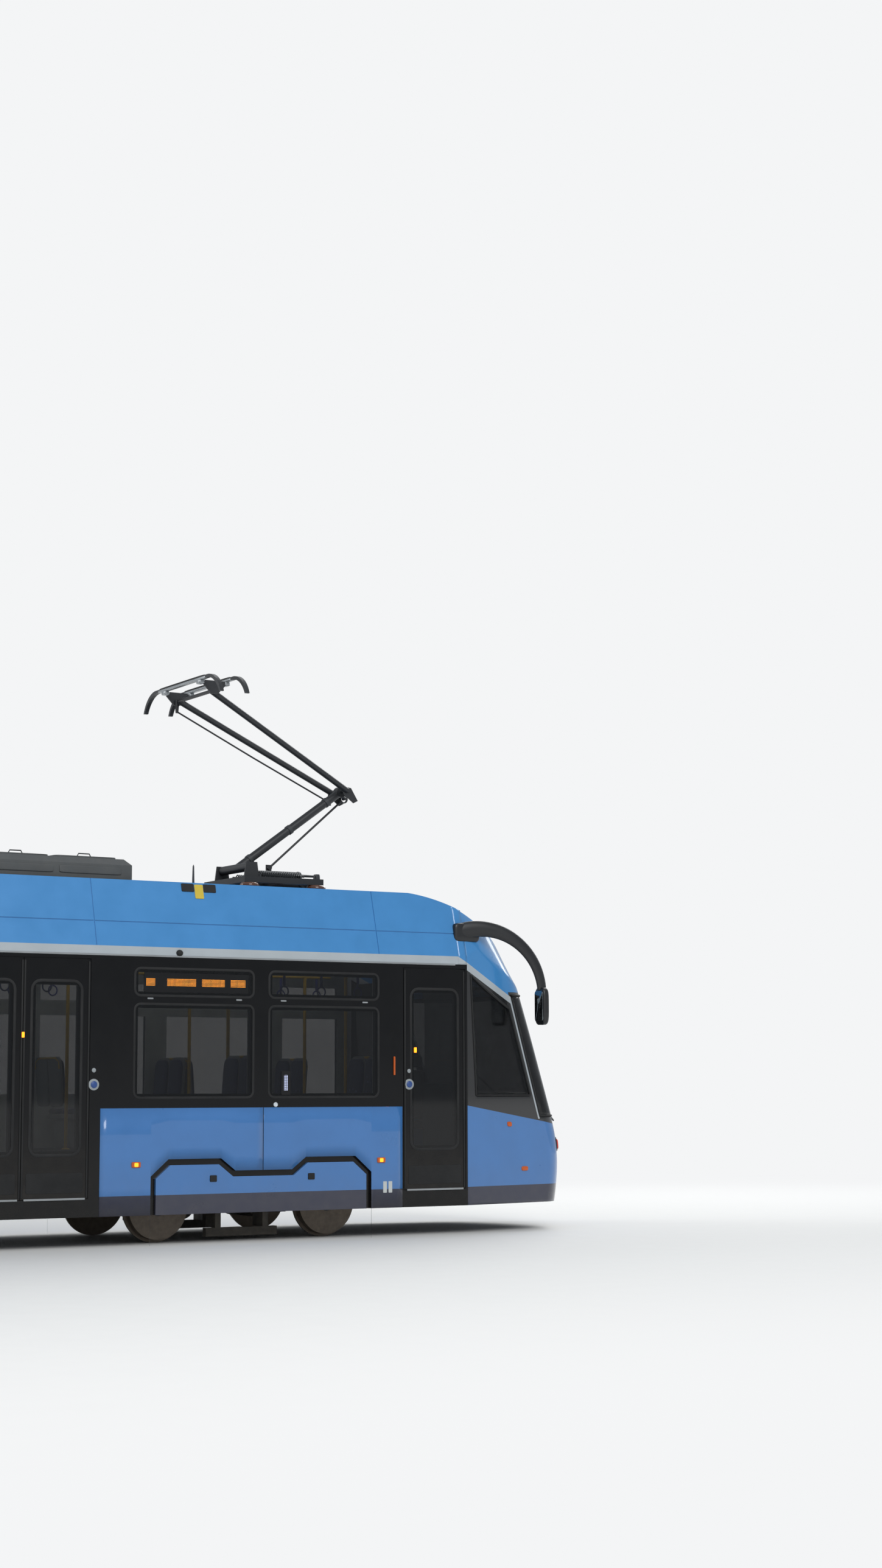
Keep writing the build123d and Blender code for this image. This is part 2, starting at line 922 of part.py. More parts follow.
front_aisle = box((bogie_xs[0] - housing_shell, bogie_xs[0] + housing_shell), (-aisle_half, aisle_half),
                  (slab_underside, floor_high))
cab_floor = nose_inner & box((wall_front_x, at(cab_floor_front)), cab_width, (slab_underside, floor_high))
cab_riser = nose_inner & box((wall_front_x, wall_front_x + floor_thickness), cab_width,
                             (floor_low - floor_thickness, slab_underside))

with BuildPart() as tongue:
    tongue_end = pivot_x + tongue_root
    tongue_y = (-tongue_half_width, tongue_half_width)
    add(box((pivot_x, tongue_end), tongue_y, (knuckle_bottom, knuckle_top)))
    add(upright(pivot_x, 0, knuckle_radius, knuckle_bottom, knuckle_top))
    add(box((tongue_end - tongue_root_length, tongue_end), tongue_y, (knuckle_top, slab_underside)))
    add(upright(pivot_x, 0, knuckle_pin_radius + running_gap, knuckle_bottom, knuckle_top),
        mode=Mode.SUBTRACT)

underframe = floor_blocks(front_floor_rows)
underframe += [end_floor.part, rear_aisle.part, front_aisle, cab_floor, cab_riser, tongue.part]
underframe += [end_portal(car_end_x, 1)]
underframe += [wheel_housing(x_bogie, side) for x_bogie in bogie_xs for side in (-1, 1)]
underframe += [pivot_plate_piece(x_bogie) for x_bogie in bogie_xs]
write_group(underframe, "front_underframe", "rear_underframe")

middle_floor_rows = [  # start, end, top
    (-middle_end_x, -middle_end_x + middle_step, floor_high),
    (-middle_end_x + middle_step, middle_end_x - middle_step, floor_low),
    (middle_end_x - middle_step, middle_end_x, floor_high),
]
with BuildPart() as middle_underframe:
    for block in floor_blocks(middle_floor_rows):
        add(block)
    for end in (-1, 1):
        knuckle_x = end * pivot_x
        shoulder = knuckle_top + running_gap
        add(upright(knuckle_x, 0, gangway_radius, slab_underside, gangway_top))
        add(upright(knuckle_x, 0, knuckle_radius, shoulder, slab_underside))
        add(upright(knuckle_x, 0, knuckle_pin_radius, knuckle_bottom, shoulder))
write_group([middle_underframe.part, end_portal(-middle_end_x, 1), end_portal(middle_end_x, -1)],
            "middle_underframe")

# Bellows: a hood over the gangway, open below
with BuildPart() as bellows:
    with BuildSketch(Plane.YZ.offset(middle_end_x)):
        with Locations((0, (bellows_bottom + bellows_top) / 2)):
            Rectangle(2 * bellows_half_width, bellows_top - bellows_bottom)
        with Locations((0, (bellows_bottom + bellows_top - bellows_thickness) / 2)):
            Rectangle(2 * (bellows_half_width - bellows_thickness),
                      bellows_top - bellows_bottom - bellows_thickness, mode=Mode.SUBTRACT)
    extrude(amount=car_end_x - middle_end_x)
write(bellows, "front_bellows")
write_rear(bellows, "rear_bellows")

# Bogies, numbered from the front
bogies = [  # number, X, driven
    (1, bogie_xs[0], True),
    (2, bogie_xs[1], False),
    (3, -bogie_xs[1], False),
    (4, -bogie_xs[0], True),
]
beam_profile = [  # X from the bogie centre, height: half of a beam that hangs an axle box from its end
    (0, rail + 400),
    (350, rail + 400),
    (700, rail + 445),
    (wheelbase / 2 + axle_box_half, rail + 420),
    (wheelbase / 2 + axle_box_half, axle_z - beam_end_drop),
    (wheelbase / 2 - axle_box_half, axle_z - beam_end_drop),
    (wheelbase / 2 - axle_box_half, rail + 320),
    (350, rail + 270),
    (0, rail + 270),
]
track_brake_y = gauge / 2
for number, x_bogie, driven in bogies:
    with BuildPart() as bogie:
        for side in (-1, 1):
            with BuildSketch(Plane.XZ.offset(-side * beam_outer_y)):
                with BuildLine():
                    Polyline(*[(x_bogie + x, z) for x, z in beam_profile])
                    Polyline(*[(x_bogie - x, z) for x, z in beam_profile])
                make_face()
            extrude(amount=side * beam_width)
            brake_z = rail + track_brake_lift
            brake_y = sorted((side * (track_brake_y - track_brake_width / 2),
                              side * (track_brake_y + track_brake_width / 2)))
            hanger_y = sorted((side * (beam_outer_y - beam_width / 2), brake_y[side > 0]))
            add(box((x_bogie - track_brake_length / 2, x_bogie + track_brake_length / 2), brake_y,
                    (brake_z, brake_z + track_brake_height)))
            for x_hanger in (x_bogie - track_brake_length / 3, x_bogie + track_brake_length / 3):
                add(box((x_hanger - hanger_size / 2, x_hanger + hanger_size / 2), hanger_y,
                        (brake_z + track_brake_height, rail + 330)))
        add(box((x_bogie - transom_half, x_bogie + transom_half), (-beam_outer_y, beam_outer_y),
                (transom_bottom, transom_top)))
        add(upright(x_bogie, 0, bolster_radius, transom_top, plate_bottom - running_gap))
        add(upright(x_bogie, 0, pivot_pin_radius + running_gap, transom_bottom, plate_bottom),
            mode=Mode.SUBTRACT)
        if driven:
            for end in (-1, 1):
                add(crosswise(x_bogie + end * motor_offset, axle_z - motor_drop, motor_radius,
                              -motor_length / 2, motor_length / 2))
                case_x = sorted((x_bogie + end * motor_offset,
                                 x_bogie + end * (wheelbase / 2 + motor_radius)))
                add(box(case_x, (end * gear_case_y - gear_case_width / 2,
                                 end * gear_case_y + gear_case_width / 2),
                        (axle_z - motor_radius, axle_z + motor_radius)))
                add(box((x_bogie - motor_offset, x_bogie + motor_offset),
                        (end * gear_case_y - gear_case_width / 2,
                         end * gear_case_y + gear_case_width / 2),
                        (transom_bottom, transom_bottom + hanger_size)))
        for end in (-1, 1):
            add(crosswise(x_bogie + end * wheelbase / 2, axle_z, axle_radius + running_gap,
                          -half_width, half_width), mode=Mode.SUBTRACT)
    write(bogie, f"bogie_{number}")

# Wheelsets: two turned wheels on an axle
wheel_back = back_to_back / 2
wheel_profile = [  # distance out from the wheel's back, radius
    (0, 0),
    (0, flange_radius),
    (flange_thickness, flange_radius),
    (flange_thickness, wheel_radius),
    (wheel_width, wheel_radius),
    (wheel_width, 0),
]
for number, x_bogie, _ in bogies:
    for place, end in (("leading", 1), ("trailing", -1)):
        x_axle = x_bogie + end * wheelbase / 2
        wheels = []
        for side in (-1, 1):
            with BuildPart() as wheel:
                with BuildSketch(Plane(origin=(x_axle, 0, axle_z), x_dir=(1, 0, 0), z_dir=(0, 0, 1))):
                    with BuildLine():
                        Polyline(*[(radius, side * (wheel_back + out)) for out, radius in wheel_profile],
                                 close=True)
                    make_face()
                revolve(axis=Axis((x_axle, 0, axle_z), (0, 1, 0)))
            wheels.append(wheel.part)
        axle = crosswise(x_axle, axle_z, axle_radius, -wheel_back, wheel_back)
        write_group([axle, *wheels], f"wheelset_{number}_{place}")

# Towing clevis
clevis_half_height = clevis_gap / 2 + clevis_ear
clevis_pin_x = at(clevis_station + clevis_half_width)
with BuildPart() as clevis:
    clevis_y = (-clevis_half_width, clevis_half_width)
    add(box((at(clevis_root_station), clevis_pin_x), clevis_y,
            (clevis_height - clevis_half_height, clevis_height + clevis_half_height)))
    add(upright(clevis_pin_x, 0, clevis_half_width, clevis_height - clevis_half_height,
                clevis_height + clevis_half_height))
    add(box((at(clevis_station + 3 * clevis_half_width), at(clevis_station)), clevis_y,
            (clevis_height - clevis_gap / 2, clevis_height + clevis_gap / 2)), mode=Mode.SUBTRACT)
    add(upright(clevis_pin_x, 0, clevis_pin_radius, clevis_height - clevis_half_height,
                clevis_height + clevis_half_height), mode=Mode.SUBTRACT)
    add(box((at(clevis_root_station), at(clevis_root_station) + tongue_root_length), clevis_y,
            (clevis_height + clevis_half_height, slab_underside)))
write(clevis, "front_tow_clevis")
write_rear(clevis, "rear_tow_clevis")


def seat(x_foot, facing, y_centre, base):
    """Cushion block and leaning back panel of one seat."""
    def x(distance):
        return x_foot + facing * distance

    front = seat_back_thickness + seat_gap + seat_depth
    cushion = [
        (x(seat_back_thickness + seat_gap), base),
        (x(front - seat_leg_inset), base),
        (x(front), base + seat_cushion_height - seat_leg_inset),
        (x(front - seat_gap), base + seat_cushion_height),
        (x(seat_back_thickness + seat_gap), base + seat_cushion_height),
    ]
    back = [
        (x(0), base),
        (x(seat_back_thickness), base),
        (x(seat_back_thickness - seat_lean), base + seat_back_height),
        (x(-seat_lean), base + seat_back_height),
    ]
    with BuildPart() as piece:
        for outline in (cushion, back):
            with BuildSketch(Plane.XZ.offset(-y_centre - seat_width / 2)):
                with BuildLine():
                    Polyline(*outline, close=True)
                make_face()
            extrude(amount=seat_width)
    return piece.part


with BuildPart() as seats:
    for side in (-1, 1):
        for x_bogie in bogie_xs:
            for offset_x, facing in podium_seats:
                add(seat(x_bogie + offset_x, facing, side * podium_seat_y, podium_top))
        for station, facing in floor_seats:
            add(seat(at(station), facing, side * floor_seat_y, floor_low))
write(seats, "front_seats")
write_rear(seats, "rear_seats")

with BuildPart() as middle_seats_piece:
    for side in (-1, 1):
        for x_foot, facing in middle_seats:
            add(seat(x_foot * middle_stretch, facing, side * floor_seat_y, floor_low))
write(middle_seats_piece, "middle_seats")


def handrail_piece(poles):
    """Pairs of eight-sided poles from floor to ceiling; rows are (x, foot height)."""
    with BuildPart() as piece:
        for x, foot in poles:
            with BuildSketch(Plane.XY.offset(foot)):
                with Locations((x, pole_y), (x, -pole_y)):
                    RegularPolygon(pole_radius, 8)
            extrude(amount=ceiling - foot)
    return piece


front_rails = handrail_piece([(at(station), foot) for station, foot in end_poles])
write(front_rails, "front_handrails")
write_rear(front_rails, "rear_handrails")
write(handrail_piece([(x * middle_stretch, foot) for x, foot in middle_poles]), "middle_handrails")

# Cab: bulkhead with a doorway, desk and driver's seat
with BuildPart() as cab:
    bulkhead_x = (at(bulkhead_station), at(bulkhead_station) + bulkhead_thickness)
    add(nose_inner & box(bulkhead_x, cab_width, (floor_high, ceiling)))
    add(box(bulkhead_x, (-bulkhead_door_half, bulkhead_door_half), (floor_high, cab_window[0][1])),
        mode=Mode.SUBTRACT)
    with BuildSketch(Plane.XZ.offset(-desk_half_width)):
        with BuildLine():
            Polyline(
                (at(desk_front), floor_high),
                *[(at(desk_front + share * desk_depth), desk_top - drop) for share, drop in desk_profile],
                (at(desk_front + desk_foot_share * desk_depth), floor_high),
                close=True,
            )
        make_face()
    extrude(amount=2 * desk_half_width)
    driver_x = at(driver_seat_station)
    driver_y = (-driver_seat_half_width, driver_seat_half_width)
    back_x = driver_x - driver_seat_back
    add(upright(driver_x, 0, driver_column_radius, floor_high, floor_high + driver_seat_low))
    add(box((back_x, driver_x + driver_seat_front), driver_y,
            (floor_high + driver_seat_low, floor_high + driver_seat_high)))
    add(box((back_x - driver_back_thickness, back_x), driver_y,
            (floor_high + driver_back_low, floor_high + driver_back_high)))
write(cab, "front_cab_interior")


def roof_box_piece(rows):
    """Roof equipment boxes on feet; rows are (x0, x1, half width, top)."""
    with BuildPart() as piece:
        for x0, x1, box_half_width, top in rows:
            with BuildPart(mode=Mode.PRIVATE) as case:
                add(box((x0, x1), (-box_half_width, box_half_width), (roof_deck + box_foot_height, top)))
                chamfer(case.edges().group_by(Axis.Z)[-1], box_chamfer)
            add(case.part)
            for x_foot in (x0 + box_foot_inset, x1 - 2 * box_foot_inset):
                add(box((x_foot, x_foot + box_foot_inset), (-box_half_width + box_foot_inset,
                                                            box_half_width - box_foot_inset),
                        (roof_deck, roof_deck + box_foot_height)))
    return piece


front_boxes = roof_box_piece(stations_to_x(roof_boxes))
write(front_boxes, "front_roof_equipment")
write_rear(front_boxes, "rear_roof_equipment")
write(roof_box_piece(middle_to_x(middle_roof_boxes)), "middle_roof_equipment")

# Mirror arms: an arc in an upright plane that splays outward
with BuildPart() as mirrors:
    for side in (-1, 1):
        splay = math.radians(mirror_arm_splay)
        root_lean = (mirror_arm_root_z - fascia_bottom) * fascia_lean / (fascia_top - fascia_bottom)
        root = (at(mirror_arm_station), side * (half_width - root_lean))
        arm_plane = Plane(
            origin=(root[0], root[1], mirror_arm_root_z),
            x_dir=(math.cos(splay), side * math.sin(splay), 0),
            z_dir=(math.sin(splay) * side, -math.cos(splay), 0),
        )
        with BuildLine(arm_plane):
            arm = ThreePointArc(
                (0, 0),
                (mirror_arm_reach * mirror_arm_bend_share, -mirror_arm_drop * mirror_arm_bend_drop_share),
                (mirror_arm_reach, -mirror_arm_drop),
            )
        with BuildSketch(Plane(origin=arm @ 0, x_dir=arm_plane.z_dir, z_dir=arm % 0)):
            Rectangle(mirror_arm_depth, mirror_arm_width)
        sweep()
        tip = arm @ 1
        add(box((tip.X - mirror_depth / 2, tip.X + mirror_depth / 2),
                (tip.Y - mirror_width / 2, tip.Y + mirror_width / 2),
                (tip.Z - mirror_height, tip.Z + mirror_arm_depth / 2)))
    add(nose_outer, mode=Mode.SUBTRACT)
write(mirrors, "front_mirrors")

# Pantograph base: legs and insulators under a tube frame that carries the arm's bearings
mast_x = at(mast_station)
base_ends = (at(mast_base_end), at(mast_base_start))
frame_bottom = mast_base_z - mast_base_tube
leg_top = roof_deck + (frame_bottom - roof_deck) / 2
bearing_y = pivot_tube_half + plate
with BuildPart() as base:
    for side in (-1, 1):
        rail_span = sorted((side * (mast_base_half_width - mast_base_tube / 2),
                            side * (mast_base_half_width + mast_base_tube / 2)))
        add(box(base_ends, rail_span, (frame_bottom, mast_base_z)))
        for x_leg in (base_ends[0] + insulator_radius, base_ends[1] - insulator_radius):
            add(box((x_leg - insulator_radius, x_leg + insulator_radius),
                    (side * mast_base_half_width - insulator_radius,
                     side * mast_base_half_width + insulator_radius), (roof_deck, leg_top)))
            add(upright(x_leg, side * mast_base_half_width, insulator_radius, leg_top, frame_bottom))
        bearing_span = sorted((side * bearing_y, side * (bearing_y + plate)))
        with BuildSketch(Plane.XZ.offset(-bearing_span[1])):
            with BuildLine():
                Polyline(
                    (mast_x - 2 * pivot_tube_radius, frame_bottom),
                    (mast_x - pivot_tube_radius - plate, mast_z + pivot_tube_radius),
                    (mast_x + pivot_tube_radius + plate, mast_z + pivot_tube_radius),
                    (mast_x + 2 * pivot_tube_radius, frame_bottom),
                    close=True,
                )
            make_face()
        extrude(amount=plate)
    for x_bar in (base_ends[0], (base_ends[0] + base_ends[1] - mast_base_tube) / 2,
                  base_ends[1] - mast_base_tube, mast_x - mast_base_tube / 2):
        add(box((x_bar, x_bar + mast_base_tube), (-mast_base_half_width, mast_base_half_width),
                (frame_bottom, mast_base_z)))
    add(strut((mast_x, 0, frame_bottom + mast_base_tube / 2),
              (base_ends[1], 0, frame_bottom + mast_base_tube / 2), cylinder_radius))
    thrust_root_x = at(thrust_root_station)
    foot_x = (thrust_root_x - thrust_foot, thrust_root_x + thrust_foot)
    foot_y = thrust_y + rod_eye_width / 2
    add(box(foot_x, (foot_y + running_gap, foot_y + plate), (frame_bottom, thrust_root_z + thrust_foot)))
    add(box(foot_x, (0, foot_y + plate), (frame_bottom, mast_base_z - plate)))
    add(crosswise(thrust_root_x, thrust_root_z, small_pin_radius,
                  thrust_y - rod_eye_width / 2, thrust_y + rod_eye_width / 2 + plate))
    add(crosswise(mast_x, mast_z, pivot_tube_radius / 2 + running_gap, -half_width, half_width),
        mode=Mode.SUBTRACT)
write(base, "pantograph_base")

# Lower arm: pivot tube with stub axles, main tube and knee eye
knee_x = at(knee_station)
with BuildPart() as lower_arm:
    add(crosswise(mast_x, mast_z, pivot_tube_radius, -pivot_tube_half, pivot_tube_half))
    add(crosswise(mast_x, mast_z, pivot_tube_radius / 2, -bearing_y - plate, bearing_y + plate))
    add(strut((mast_x, 0, mast_z), (knee_x, 0, knee_z), lower_arm_radius))
    add(crosswise(knee_x, knee_z, knee_eye_radius, -knee_eye_half, knee_eye_half))
    add(crosswise(knee_x, knee_z, knee_pin_radius + running_gap, -knee_eye_half, knee_eye_half),
        mode=Mode.SUBTRACT)
write(lower_arm, "pantograph_lower_arm")

# Upper arm: knee pin, two tubes that spread toward the head, and a tail for the thrust rod
head_x = at(head_station)
upper_length = math.hypot(head_x - knee_x, head_z - knee_z)
tail_x = knee_x - tail_length * (head_x - knee_x) / upper_length
tail_z = knee_z - tail_length * (head_z - knee_z) / upper_length
with BuildPart() as upper_arm:
    add(crosswise(knee_x, knee_z, knee_pin_radius, -upper_arm_foot_half - upper_arm_radius,
                  upper_arm_foot_half + upper_arm_radius))
    for side in (-1, 1):
        add(strut((knee_x, side * upper_arm_foot_half, knee_z),
                  (head_x, side * upper_arm_head_half, head_z), upper_arm_radius))
    add(crosswise(head_x, head_z, head_pin_radius, -head_plate_y - plate, head_plate_y + plate))
    tail_y = thrust_y - plate - tail_clear
    add(strut((knee_x, tail_y, knee_z), (tail_x, tail_y, tail_z), plate))
    add(crosswise(tail_x, tail_z, small_pin_radius, tail_y, thrust_y + rod_eye_width / 2 + eye_clear))
write(upper_arm, "pantograph_upper_arm")

# Thrust rod: eye on the base's pin, open eye round the upper arm's tail pin
open_eye = small_pin_radius + thrust_drift + eye_play
rod_direction = Vector(tail_x - thrust_root_x, 0, tail_z - thrust_root_z).normalized()
with BuildPart() as thrust_rod:
    eye_y = (thrust_y - rod_eye_width / 2, thrust_y + rod_eye_width / 2)
    rod_start = Vector(thrust_root_x, thrust_y, thrust_root_z)
    rod_end = Vector(tail_x, thrust_y, tail_z) - rod_direction * open_eye
    add(strut(tuple(rod_start), tuple(rod_end), thrust_rod_radius))
    add(crosswise(thrust_root_x, thrust_root_z, 2 * small_pin_radius, *eye_y))
    add(crosswise(thrust_root_x, thrust_root_z, small_pin_radius + running_gap, *eye_y),
        mode=Mode.SUBTRACT)
    add(crosswise(tail_x, tail_z, open_eye + small_pin_radius, *eye_y))
    add(crosswise(tail_x, tail_z, open_eye, *eye_y), mode=Mode.SUBTRACT)
write(thrust_rod, "pantograph_thrust_rod")

# Head: two contact strips with bent-down horns on a pair of plates
strip_low = strip_top - strip_height
horn_low = strip_top - horn_drop
horn_end = strip_half_length + horn_reach
horn_bend_z = strip_top - horn_drop * horn_bend_drop_share
horn_bend = (strip_half_length + horn_reach * horn_bend_share, horn_bend_z)
horn_inner_bend = (strip_half_length + horn_reach * horn_bend_inner_share, horn_bend_z - strip_height)
with BuildPart() as head:
    for end in (-1, 1):
        strip_x = head_x + end * strip_pitch / 2
        with BuildSketch(Plane.YZ.offset(strip_x - strip_width / 2)):
            with BuildLine():
                Line((0, strip_top), (strip_half_length, strip_top))
                ThreePointArc((strip_half_length, strip_top), horn_bend, (horn_end, horn_low))
                Line((horn_end, horn_low), (horn_end - strip_height, horn_low))
                ThreePointArc((horn_end - strip_height, horn_low), horn_inner_bend,
                              (strip_half_length, strip_low))
                Line((strip_half_length, strip_low), (0, strip_low))
                Line((0, strip_low), (0, strip_top))
            make_face()
            mirror(about=Plane.YZ)
        extrude(amount=strip_width)
    for side in (-1, 1):
        plate_y = sorted((side * head_plate_y, side * (head_plate_y + plate)))
        with BuildSketch(Plane.XZ.offset(-plate_y[1])):
            with BuildLine():
                Polyline(
                    (head_x - strip_pitch / 2 - strip_width / 2, strip_low),
                    (head_x + strip_pitch / 2 + strip_width / 2, strip_low),
                    (head_x + 2 * head_pin_radius, head_z - 2 * head_pin_radius),
                    (head_x - 2 * head_pin_radius, head_z - 2 * head_pin_radius),
                    close=True,
                )
            make_face()
        extrude(amount=plate)
    add(crosswise(head_x, head_z, head_pin_radius + running_gap, -half_width, half_width),
        mode=Mode.SUBTRACT)
write(head, "pantograph_head")
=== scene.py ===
"""Looks of an articulated low-floor tram in three sections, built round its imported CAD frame, in metres."""
import logging
import math
from collections.abc import Callable, Sequence
from dataclasses import dataclass, field
from enum import Enum

import bmesh
import bpy
import numpy as np
from mathutils import Matrix, Vector


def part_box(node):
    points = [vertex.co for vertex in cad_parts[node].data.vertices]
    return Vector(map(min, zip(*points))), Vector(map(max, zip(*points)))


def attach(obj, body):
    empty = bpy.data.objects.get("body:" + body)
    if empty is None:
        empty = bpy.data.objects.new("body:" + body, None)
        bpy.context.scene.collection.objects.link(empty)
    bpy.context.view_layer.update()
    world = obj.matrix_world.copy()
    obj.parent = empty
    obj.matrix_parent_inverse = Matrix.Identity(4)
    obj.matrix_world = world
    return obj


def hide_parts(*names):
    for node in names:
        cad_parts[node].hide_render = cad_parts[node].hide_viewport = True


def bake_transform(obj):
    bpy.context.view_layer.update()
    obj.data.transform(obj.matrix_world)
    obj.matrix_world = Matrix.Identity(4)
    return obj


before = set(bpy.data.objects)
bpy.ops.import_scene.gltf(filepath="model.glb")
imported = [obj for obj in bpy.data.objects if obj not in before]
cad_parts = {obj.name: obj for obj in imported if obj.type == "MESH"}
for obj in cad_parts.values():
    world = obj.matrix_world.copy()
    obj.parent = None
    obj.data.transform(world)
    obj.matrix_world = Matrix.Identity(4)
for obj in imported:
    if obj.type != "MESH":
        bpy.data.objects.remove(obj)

LOG = logging.getLogger("tram")
MM = 0.001
RAIL = 0.028
BACKDROP = "f4f5f6"
ROAD_DUST = "8a8071"
UNLIT_DOT = "120c06"

Pair = tuple[float, float]
Triple = tuple[float, float, float]
Quad = tuple[float, float, float, float]


class End(Enum):
    """An end section, by the sign of its X."""

    FRONT = 1
    REAR = -1


class Side(Enum):
    """A side of the vehicle, by the sign of its Y."""

    LEFT = 1
    RIGHT = -1


def linear(colour: str) -> Quad:
    """Turn an sRGB hex colour into linear values.

    Args:
        colour: six hex digits.

    Returns:
        Linear red, green, blue and an alpha of 1.
    """
    parts = [int(colour[i:i + 2], 16) / 255 for i in (0, 2, 4)]
    red, green, blue = [p / 12.92 if p <= 0.04045 else ((p + 0.055) / 1.055) ** 2.4 for p in parts]
    return red, green, blue, 1.0


MIX_SHARE, MIX_FIRST, MIX_SECOND, MIX_RESULT = 0, 6, 7, 2
CLOUD_LIMITS = (0.3, 0.7)
BANDS_TO_THE_METRE = 0.314


class Graph:
    """Short ways to add nodes to the node tree of a material or the world."""

    def __init__(self, tree: bpy.types.NodeTree) -> None:
        """Empty the tree and start in it."""
        tree.nodes.clear()
        self.tree = tree

    def add(self, kind: str, settings: dict | None = None, inputs: dict | None = None) -> bpy.types.Node:
        """Add a node.

        Args:
            kind: the node's type name.
            settings: attributes to set.
            inputs: for each input's name or number, a value, a hex colour or the socket to link from.

        Returns:
            The new node.
        """
        node = self.tree.nodes.new(kind)
        for name, value in (settings or {}).items():
            setattr(node, name, value)
        for name, value in (inputs or {}).items():
            if isinstance(value, bpy.types.NodeSocket):
                self.tree.links.new(value, node.inputs[name])
            else:
                node.inputs[name].default_value = linear(value) if isinstance(value, str) else value
        return node

    def place(self) -> bpy.types.NodeSocket:
        """Object coordinates, which are the vehicle's own metres."""
        return self.add("ShaderNodeTexCoord").outputs["Object"]

    def number(self, operation: str, *values: object) -> bpy.types.NodeSocket:
        """Calculate with numbers."""
        return self.add("ShaderNodeMath", {"operation": operation}, dict(enumerate(values))).outputs[0]

    def vector(self, operation: str, first: object, second: object = None) -> bpy.types.NodeSocket:
        """Calculate with one or two vectors, or with a vector and a number for SCALE.

        Args:
            operation: name of the operation.
            first: the first vector.
            second: the second vector, or the number.

        Returns:
            The result's socket.
        """
        inputs = {0: first}
        if second is not None:
            inputs["Scale" if operation == "SCALE" else 1] = second
        node = self.add("ShaderNodeVectorMath", {"operation": operation}, inputs)
        return node.outputs["Value" if operation in ("DOT_PRODUCT", "LENGTH") else 0]

    def noise(self, place: bpy.types.NodeSocket, scale: float, detail: float, **more) -> bpy.types.NodeSocket:
        """Cloudy noise with a number of cells to the metre."""
        inputs = {"Vector": place, "Scale": scale, "Detail": detail, **more}
        return self.add("ShaderNodeTexNoise", inputs=inputs).outputs[0]

    def spread(self, value: object, low: float, high: float, limits: Pair = (0.0, 1.0),
               kind: str = "LINEAR") -> bpy.types.NodeSocket:
        """Spread a value between two limits over low to high."""
        inputs = {0: value, 1: limits[0], 2: limits[1], 3: low, 4: high}
        return self.add("ShaderNodeMapRange", {"interpolation_type": kind}, inputs).outputs[0]

    def mix(self, share: object, first: object, second: object) -> bpy.types.NodeSocket:
        """Mix two colours by a share."""
        inputs = {MIX_SHARE: share, MIX_FIRST: first, MIX_SECOND: second}
        return self.add("ShaderNodeMix", {"data_type": "RGBA"}, inputs).outputs[MIX_RESULT]

    def relief(self, shader: bpy.types.Node, height: object, depth: float, strength: float) -> None:
        """Bend a shader's normal by a height, over a depth in metres."""
        bump = self.add("ShaderNodeBump", inputs={"Strength": strength, "Distance": depth, "Height": height})
        self.tree.links.new(bump.outputs[0], shader.inputs["Normal"])


@dataclass(frozen=True)
class Zone:
    """Part of a surface in one colour: where every limit (nx, ny, nz, least) has n . (|x|, y, z) > least."""

    colour: str
    limits: tuple[Quad, ...]


